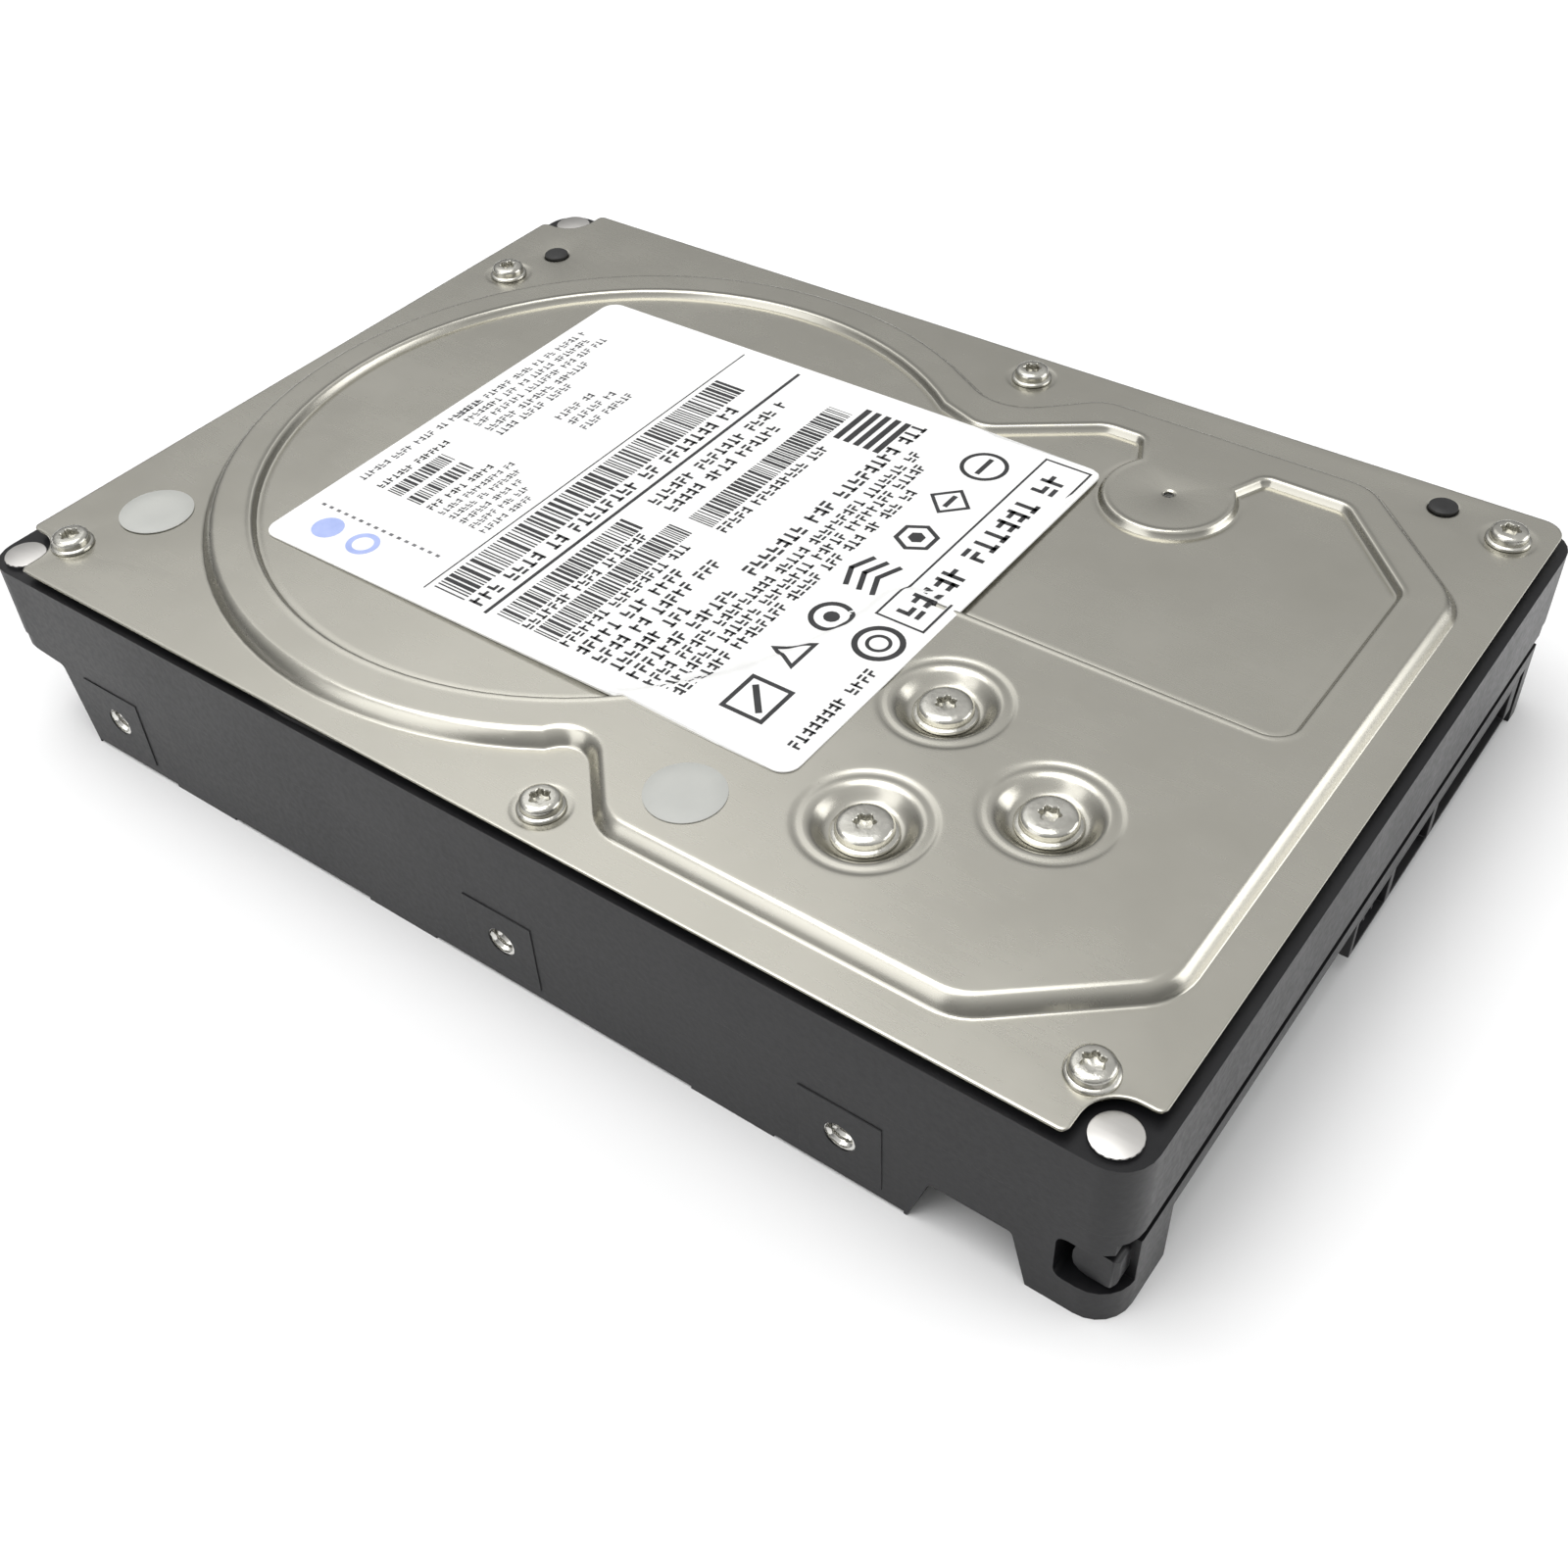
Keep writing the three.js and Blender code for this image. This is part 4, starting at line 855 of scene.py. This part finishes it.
def print_black():
    """The label's black print, line by line from the top."""
    p = Print()

    def code(u, v, length, height, seed, pitch):
        x, y = from_corner(u, v)
        p.barcode(x, y - height, x + length, y, seed, pitch)

    def rule(u0, u1, v, width):
        x0, y = from_corner(u0, v)
        p.bar(x0, y - width / 2, from_corner(u1, v)[0], y + width / 2)

    for i, (v, length) in enumerate([(6.4, 9), (9.5, 9)]):
        code(13.6, v, length, 2.2, 20 + i, 0.3)
    for i, v in enumerate([4.6, 12.6]):
        p.text(13.6, v, 11, 1.0, 30 + i)
    rule(2.6, 60.2, 23.0, 0.16)
    code(3.4, 23.8, 50, 4.4, 1, 0.36)
    p.text(3.6, 28.7, 46, 1.8, 2)
    rule(3.0, 60.2, 31.6, 0.42)
    code(3.6, 32.8, 20.6, 3.2, 3, 0.28)
    code(3.6, 38.0, 22.8, 3.2, 4, 0.28)
    p.text(3.6, 36.3, 19, 1.3, 5)
    p.text(3.6, 41.5, 21, 1.3, 6)
    for i, length in enumerate([16, 20, 12, 17]):
        p.text(3.6, 43.6 + 2.3 * i, length, 1.6, 7 + i)
    for i, length in enumerate([25, 21]):
        p.text(28.5, 33.0 + 2.4 * i, length, 1.6, 12 + i)
    code(28.5, 39.0, 27.5, 3.4, 15, 0.3)
    p.text(28.5, 42.9, 20, 1.4, 16)
    p.text(24.0, 49.8, 34, 1.9, 17)
    for i, length in enumerate([49, 47, 43]):
        p.text(3.6, 52.7 + 1.9 * i, length, 1.4, 18 + i)
    p.text(3.6, 70.8, 14, 1.4, 24)
    return p


def print_symbols(p):
    """Plain symbols of no meaning, in the places where a label carries its marks."""
    x, y = from_corner(54.4, 46.4)
    for i in range(5):
        p.patch(box_corners(x - 3.6, y - 3.2 + i * 1.4, x + 3.6, y - 2.4 + i * 1.4))
    cx, cy = from_corner(7.4, 64.4)
    p.loop(box_corners(cx - 2.6, cy - 2.4, cx + 2.6, cy + 2.4), 0.5)
    p.stroke([(cx - 1.5, cy - 1.3), (cx + 1.5, cy + 1.3)], 0.7)
    cx, cy = from_corner(15.4, 62.6)
    p.loop([(cx - 2.1, cy - 1.7), (cx + 2.1, cy - 1.7), (cx, cy + 2.0)], 0.45)
    cx, cy = from_corner(22.8, 62.6)
    p.ring((cx, cy), 2.2, 0.6)
    p.patch(circle((cx, cy), 0.9, 12))
    cx, cy = from_corner(31.0, 62.2)
    for k in range(3):
        low, high = cy - 1.8 + k * 1.7, cy - 0.7 + k * 1.7
        p.stroke([(cx - 2.7, low), (cx, high), (cx + 2.7, low)], 0.62)
    cx, cy = from_corner(39.4, 62.4)
    p.loop(circle((cx, cy), 2.3, 6), 0.5)
    p.patch(circle((cx, cy), 1.0, 6))
    cx, cy = from_corner(47.2, 61.8)
    p.loop(circle((cx, cy), 2.4, 4), 0.42)
    p.bar(cx - 1.2, cy - 0.3, cx + 1.2, cy + 0.3)
    cx, cy = from_corner(55.2, 61.4)
    p.ring((cx, cy), 2.6, 0.5)
    p.bar(cx - 1.7, cy - 0.3, cx + 1.7, cy + 0.3)
    cx, cy = from_corner(21.2, 69.6)
    p.ring((cx, cy), 2.5, 0.65)
    p.ring((cx, cy), 1.2, 0.4)
    x0, y0 = from_corner(25.2, 72.4)
    x1, y1 = from_corner(60.4, 66.6)
    p.loop(box_corners(x0, y0, x1, y1), 0.26)
    p.greeked(x0 + 1.4, y0 + 1.5, x1 - x0 - 3.2, 2.8, 77)


def print_grey():
    """The paler print in the label's top corner."""
    p = Print()
    upper = [(13.6, 1.6, 20), (29.5, 1.6, 24), (29.5, 3.3, 22), (29.5, 5.0, 24)]
    for i, (u, v, length) in enumerate(upper):
        p.text(u, v, length, 1.0, 40 + i)
    lower = [(29.5, 6.7, 19), (29.5, 8.4, 13), (36, 12.2, 6), (36, 14.2, 8), (36, 16.2, 9)]
    for i, (u, v, length) in enumerate(lower):
        x, y = from_corner(u, v)
        p.greeked(x, y - 1.2, length, 1.1, 50 + i)
    for i in range(5):
        p.text(13.6, 14.4 + 1.6 * i, 12 - i, 0.9, 60 + i)
    x, y = from_corner(7.4, 2.0)
    for i in range(16):
        p.patch(box_corners(x, y - 0.5 - i * 1.2, x + 0.4, y - i * 1.2))
    return p


def print_blue():
    """A plain blue disc beside a ring."""
    p = Print()
    cx, cy = from_corner(4.6, 6.0)
    p.patch(circle((cx, cy), 1.9, 20))
    cx, cy = from_corner(4.6, 11.6)
    p.ring((cx, cy), 1.6, 0.7)
    return p


def build_print():
    """The three inks, each as one piece."""
    black = print_black()
    print_symbols(black)
    black.finish("label_print_black", INK)
    print_grey().finish("label_print_grey", GREY_INK)
    print_blue().finish("label_print_blue", BLUE_INK)


# ---------------- screws, plugs and seals


LOBES = 6


def lobed(place, mean, swell, sides):
    """A ring of points with a screw socket's lobes."""
    points = []
    for i in range(sides):
        a = 2 * math.pi * i / sides
        r = mean + swell * math.cos(LOBES * a)
        points.append((place[0] + r * math.cos(a), place[1] + r * math.sin(a)))
    return points


SCREW_SIDES = 48
SHANK_R = 1.15
FLANGE_R = 2.45
WIDE_HEAD = 1.36  # how much wider a dimple screw's head is
# Radius, depth of the six lobes and height above the seat, from the socket's mouth to its floor.
SOCKET = [(1.06, 0.13, 1.5), (0.98, 0.13, 1.42), (0.94, 0.13, 0.72), (0.6, 0.06, 0.66)]
SOCKET_FLOOR = 0.6


def screw_body(place, seat, tip, turn, wide=1.0):
    """A flanged pan-head screw with a six-lobed socket; its head may be wider than usual."""
    made = bmesh.new()
    flange = FLANGE_R * wide
    profile = [
        (SHANK_R - 0.25, tip),
        (SHANK_R, tip + 0.25),
        (SHANK_R, seat),
        (flange - 0.12, seat),
        (flange, seat + 0.08),
        (flange, seat + 0.26),
        (flange - 0.1, seat + 0.38),
        (2.12 * wide, seat + 0.46),
        (2.1 * wide, seat + 0.95),
        (2.02 * wide, seat + 1.2),
        (1.82 * wide, seat + 1.4),
        (1.5 * wide, seat + 1.5),
    ]
    rings = [[made.verts.new((*place, tip))]]
    for radius, z in profile:
        rings.append([made.verts.new((x, y, z)) for x, y in circle(place, radius, SCREW_SIDES)])
    for mean, swell, height in SOCKET:
        ring = lobed(place, mean, swell, SCREW_SIDES)
        rings.append([made.verts.new((x, y, seat + height)) for x, y in ring])
    rings.append([made.verts.new((*place, seat + SOCKET_FLOOR))])
    join_rings(made, rings)
    turning = Matrix.Rotation(math.radians(turn), 3, "Z")
    bmesh.ops.rotate(made, verts=made.verts, cent=(*place, 0), matrix=turning)
    return made


def stand_in(name, suffix, made, material, angle):
    """A smooth piece that replaces the CAD node of its name."""
    piece = new_piece(f"{name}_{suffix}", made, material, stands_for=[name])
    smooth(piece, angle)


def build_screws():
    """Screws round the rim, then wider-headed ones in the dimples, each turned its own way."""
    for i, place in enumerate(RIM_SCREWS):
        made = screw_body(place, RIM_TOP - SEAT_SINK, RIM_SCREW_TIP, 17 * i + 8)
        stand_in(f"cover_screw_{i + 1}", "head", made, NICKEL, 40)
    seat = PLATEAU_TOP - DIMPLE_DEPTH + 0.02
    for i, place in enumerate(DIMPLE_SCREWS):
        made = screw_body(place, seat, DIMPLE_SCREW_TIP, 23 * i, WIDE_HEAD)
        stand_in(f"dimple_screw_{i + 1}", "head", made, NICKEL, 40)


def build_plugs():
    """Rubber plugs in the rim, with low domed tops."""
    profile = [
        (0, RIM_TOP - 3),
        (1.4, RIM_TOP - 3),
        (1.45, RIM_TOP - 0.2),
        (1.62, RIM_TOP),
        (1.6, RIM_TOP + 0.25),
        (1.35, RIM_TOP + 0.42),
        (0.8, RIM_TOP + 0.5),
        (0, RIM_TOP + 0.5),
    ]
    for i, place in enumerate(PLUG_HOLES):
        made = turned(profile, place, PLUG_SIDES)
        stand_in(f"hole_plug_{i + 1}", "cap", made, RUBBER, 50)


SEAL_T = 0.12
SEAL_GAP = 0.01  # between the cover and a seal
SEAL_SIDES = 56


def build_seals():
    """Round film seals stuck to the cover."""
    for name, (place, radius, top) in SEALS.items():
        low = top + SEAL_GAP
        high = low + SEAL_T
        profile = [
            (0, low),
            (radius, low),
            (radius, high - 0.03),
            (radius - 0.04, high),
            (radius * 0.5, high + 0.01),
            (0, high),
        ]
        made = turned(profile, place, SEAL_SIDES)
        stand_in(name, "film", made, SEAL_FILM, 40)


# ---------------- casting and other carried-over pieces


SAME_VERTEX = 2e-6  # metres
FLAT_ANGLE = math.radians(1.0)
HARD_EDGE = math.radians(30)


def softened(name, node, width, material):
    """A copy of a CAD node with its hard edges rounded off by a width in millimetres."""
    made = bmesh.new()
    made.from_mesh(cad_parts[node].data)
    bmesh.ops.remove_doubles(made, verts=made.verts, dist=SAME_VERTEX)
    bmesh.ops.dissolve_limit(made, angle_limit=FLAT_ANGLE, verts=made.verts, edges=made.edges)
    made.transform(Matrix.Scale(1 / MM, 4))
    piece = new_piece(name, made, material, stands_for=[node])
    apply_modifier(
        piece,
        "BEVEL",
        width=width * MM,
        segments=2,
        limit_method="ANGLE",
        angle_limit=HARD_EDGE,
        use_clamp_overlap=True,
    )
    smooth(piece, 32)
    apply_modifier(piece, "WEIGHTED_NORMAL", keep_sharp=True)


PAD_T = 0.3
PAD_LIFT = 0.03  # its face above the casting
PAD_SIDES = 48


def build_pads():
    """Bare machined faces on the casting's corner pads."""
    low, high = PAD_TOP - PAD_T, PAD_TOP + PAD_LIFT
    profile = [
        (0, low),
        (PAD_R - 0.2, low),
        (PAD_R, high - 0.12),
        (PAD_R - 0.04, high - 0.03),
        (PAD_R - 0.14, high),
        (0, high),
    ]
    for i, place in enumerate(CORNER_PADS):
        made = turned(profile, place, PAD_SIDES)
        smooth(new_piece(f"corner_pad_{i + 1}", made, PAD_METAL), 30)


def add_disc(made, x, y, radius):
    """One flat round pad, as a closed slab in a bmesh."""
    low, high = BOARD_PAD_FACES
    rim = circle((x, y), radius, BOARD_PAD_SIDES)
    rings = [[made.verts.new((x, y, low))]]
    rings += [[made.verts.new((px, py, z)) for px, py in rim] for z in (low, high)]
    rings.append([made.verts.new((x, y, high))])
    join_rings(made, rings)


def build_board_pads():
    """Tinned test pads under the circuit board, in broken rows clear of its screws and the motor."""
    made = bmesh.new()
    chance = random.Random(11)
    keep_out = [(place, BOARD_SCREW_CLEARANCE) for place in BOARD_SCREWS]
    keep_out.append((SPINDLE, MOTOR_CLEARANCE))
    for row in range(BOARD_PAD_ROWS):
        for column in range(BOARD_PAD_COLUMNS):
            x = -BOARD_PAD_REACH + column * BOARD_PAD_STEP
            y = BOARD_PAD_START + row * BOARD_PAD_STEP
            radius = chance.choice(BOARD_PAD_RADII)
            wanted = chance.random() < BOARD_PAD_SHARE
            clear = all(math.dist((x, y), place) > gap for place, gap in keep_out)
            if wanted and clear:
                add_disc(made, x, y, radius)
    new_piece("board_test_pads", made, TIN)


THREAD_PITCH = 0.79
THREAD_LENGTH = 3.5
THREAD_HEIGHT = 0.3
THREAD_START = 0.12  # below the hole's mouth
THREAD_GAP = 0.01  # between the hole's wall and the liner
THREAD_WALL = 0.06  # the liner's thickness behind the thread
THREAD_SIDES = 32
THREAD_STEPS = 40


def thread_liner():
    """The cut thread inside a mounting hole, with its mouth at z = 0 and its bottom below."""
    made = bmesh.new()
    outer = MOUNT_HOLE_R - THREAD_GAP
    rings = []
    for k in range(THREAD_STEPS + 1):
        z = -THREAD_START - (THREAD_LENGTH - THREAD_START) * k / THREAD_STEPS
        ring = []
        for i in range(THREAD_SIDES):
            a = 2 * math.pi * i / THREAD_SIDES
            phase = (z / THREAD_PITCH + i / THREAD_SIDES) % 1.0
            r = outer - THREAD_WALL - THREAD_HEIGHT * (1 - abs(2 * phase - 1))
            ring.append(made.verts.new((r * math.cos(a), r * math.sin(a), z)))
        rings.append(ring)
    for z in (-THREAD_LENGTH, -THREAD_START):
        rings.append([made.verts.new((x, y, z)) for x, y in circle((0, 0), outer, THREAD_SIDES)])
    join_rings(made, rings + rings[:1])
    return made


def build_threads():
    """Thread liners in the side holes, then in the underside's holes."""
    for side, label in ((-1, "left"), (1, "right")):
        outward = Matrix.Rotation(side * math.pi / 2, 4, "Y")
        downward = Matrix.Rotation(math.pi, 4, "X")
        for i, y in enumerate(SIDE_HOLES):
            place = Matrix.Translation((side * HALF_WIDTH, y, SIDE_HOLE_Z)) @ outward
            add_thread(f"side_thread_{label}_{i + 1}", place)
        for i, y in enumerate(BOTTOM_HOLES):
            place = Matrix.Translation((side * BOTTOM_HOLE_X, y, 0)) @ downward
            add_thread(f"bottom_thread_{label}_{i + 1}", place)


def add_thread(name, place):
    """One thread liner, moved to its hole."""
    made = thread_liner()
    made.transform(place)
    smooth(new_piece(name, made, THREAD), 50)


def paint_nodes():
    """Materials for the CAD nodes that keep their own shape."""
    groups = {
        ALUMINIUM: [
            "spindle_hub",
            "disc_spacer_1",
            "disc_spacer_2",
            "disc_clamp",
            "arm_block",
            "motor_base_and_stator",
            "flex_bracket",
        ],
        DISC_MIRROR: ["disc_1", "disc_2", "disc_3"],
        YOKE_NICKEL: ["lower_yoke", "upper_yoke", "lower_magnet", "upper_magnet", "rotor_magnet"],
        NICKEL: ["spindle_shaft", "pivot_shaft", "pivot_bearing", "disc_clamp_screw"]
        + [f"{kind}_{i}" for kind in ("board_screw", "head_gimbals") for i in range(1, 5)],
        COPPER: ["voice_coil"],
        CREAM: ["coil_holder", "load_ramp"],
        FELT: ["breather_filter", "recirculation_filter"],
        AMBER: ["flex_ribbon"],
        RUBBER: ["cover_gasket", "crash_stop_outer", "crash_stop_inner"],
        CHIP: ["controller_chip", "motor_driver_chip", "actuator_latch"],
        PLUG_PLASTIC: ["flex_connector"],
        GOLD: ["signal_contacts", "power_contacts"],
        BOARD: ["circuit_board"],
    }
    for material, names in groups.items():
        for name in names:
            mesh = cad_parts[name].data
            mesh.materials.clear()
            mesh.materials.append(material)


# ---------------- stage, lights and camera

# The camera: its bearing, height and roll, then millimetres, and its lens.
AZIMUTH = math.radians(-52.01)
ELEVATION = math.radians(43.68)
ROLL = math.radians(-2.77)
DISTANCE = 206.83
ASIDE = -1.69
ABOVE = 19.22
AIM = Vector((0, 0, 13.0))
LENS = 41.06
SENSOR = 36
NEAREST = 0.005
# The stage, in metres.
FLOOR_HALF = 3.0
WORLD_STRENGTH = 0.75
WORLD_TONES = [(0.02, 0.12), (0.7, 1.0)]  # height and tone at the dim band's lower and upper ends
LIGHT_TARGET = Vector((0, 0, 0.012))
# Name, place, size and watts of each softbox.
SOFTBOXES = [
    ("overhead", (-0.14, 0.12, 0.85), (0.75, 0.75), 5.2),
    ("glow_left", (-0.75, 0.3, 0.45), (0.6, 0.6), 1.6),
    ("glow_front", (0.5, -0.8, 0.3), (0.7, 0.5), 2.8),
    ("glow_back", (0.28, 0.55, 0.75), (0.6, 0.5), 0.55),
]


def add_camera():
    """A camera at a bearing and height round the drive, rolled a little and aimed off its middle."""
    level = math.cos(ELEVATION)
    out = Vector((math.sin(AZIMUTH) * level, -math.cos(AZIMUTH) * level, math.sin(ELEVATION)))
    right = (-out).cross(Vector((0, 0, 1))).normalized()
    up = right.cross(-out)
    turned_right = math.cos(ROLL) * right + math.sin(ROLL) * up
    turned_up = -math.sin(ROLL) * right + math.cos(ROLL) * up
    place = (AIM - ASIDE * turned_right - ABOVE * turned_up + DISTANCE * out) * MM
    data = bpy.data.cameras.new("camera")
    data.lens = LENS
    data.sensor_width = SENSOR
    data.clip_start = NEAREST
    camera = bpy.data.objects.new("camera", data)
    bpy.context.scene.collection.objects.link(camera)
    axes = Matrix((turned_right, turned_up, out)).transposed().to_4x4()
    camera.matrix_world = Matrix.Translation(place) @ axes
    bpy.context.scene.camera = camera


def add_floor():
    """A wide sheet of pale paper."""
    n = Nodes("floor_paper")
    tone = n.ramp(n.noise(9, 2, 0.5), [(0.3, (0.86, 0.86, 0.86)), (0.7, (0.88, 0.88, 0.88))])
    n.link(tone, n.shader.inputs["Base Color"])
    n.shader.inputs["Roughness"].default_value = 0.9
    mesh = bpy.data.meshes.new("floor")
    square = box_corners(-FLOOR_HALF, -FLOOR_HALF, FLOOR_HALF, FLOOR_HALF)
    corners = [(x, y, 0) for x, y in square]
    mesh.from_pydata(corners, [], [(0, 1, 2, 3)])
    mesh.materials.append(n.material)
    floor = bpy.data.objects.new("floor", mesh)
    bpy.context.scene.collection.objects.link(floor)


def add_softbox(name, place, size, power):
    """A rectangular light aimed at the drive's middle."""
    data = bpy.data.lights.new(name, "AREA")
    data.shape = "RECTANGLE"
    data.size, data.size_y = size
    data.energy = power
    light = bpy.data.objects.new(name, data)
    bpy.context.scene.collection.objects.link(light)
    light.location = place
    towards = LIGHT_TARGET - Vector(place)
    light.rotation_euler = towards.to_track_quat("-Z", "Y").to_euler()


def add_world():
    """Even light from above, with a dim band round the horizon, as a room has beyond its table."""
    world = bpy.data.worlds.new("studio")
    bpy.context.scene.world = world
    world.use_nodes = True
    tree = world.node_tree
    background = tree.nodes["Background"]
    background.inputs["Strength"].default_value = WORLD_STRENGTH
    way = tree.nodes.new("ShaderNodeTexCoord")
    split = tree.nodes.new("ShaderNodeSeparateXYZ")
    tree.links.new(way.outputs["Generated"], split.inputs["Vector"])
    ramp = tree.nodes.new("ShaderNodeValToRGB")
    for element, (at, shade) in zip(ramp.color_ramp.elements, WORLD_TONES):
        element.position = at
        element.color = (shade, shade, shade, 1)
    tree.links.new(split.outputs["Z"], ramp.inputs["Fac"])
    tree.links.new(ramp.outputs["Color"], background.inputs["Color"])


add_camera()
add_floor()
add_world()
for name, place, size, power in SOFTBOXES:
    add_softbox(name, place, size, power)
bpy.context.scene.view_settings.view_transform = "Standard"
build_cover()
build_label()
build_print()
build_screws()
build_plugs()
build_seals()
build_pads()
build_threads()
build_board_pads()
softened("casting_body", "base_casting", 0.3, CASTING)
softened("connector_body", "sata_connector", 0.12, PLUG_PLASTIC)
paint_nodes()
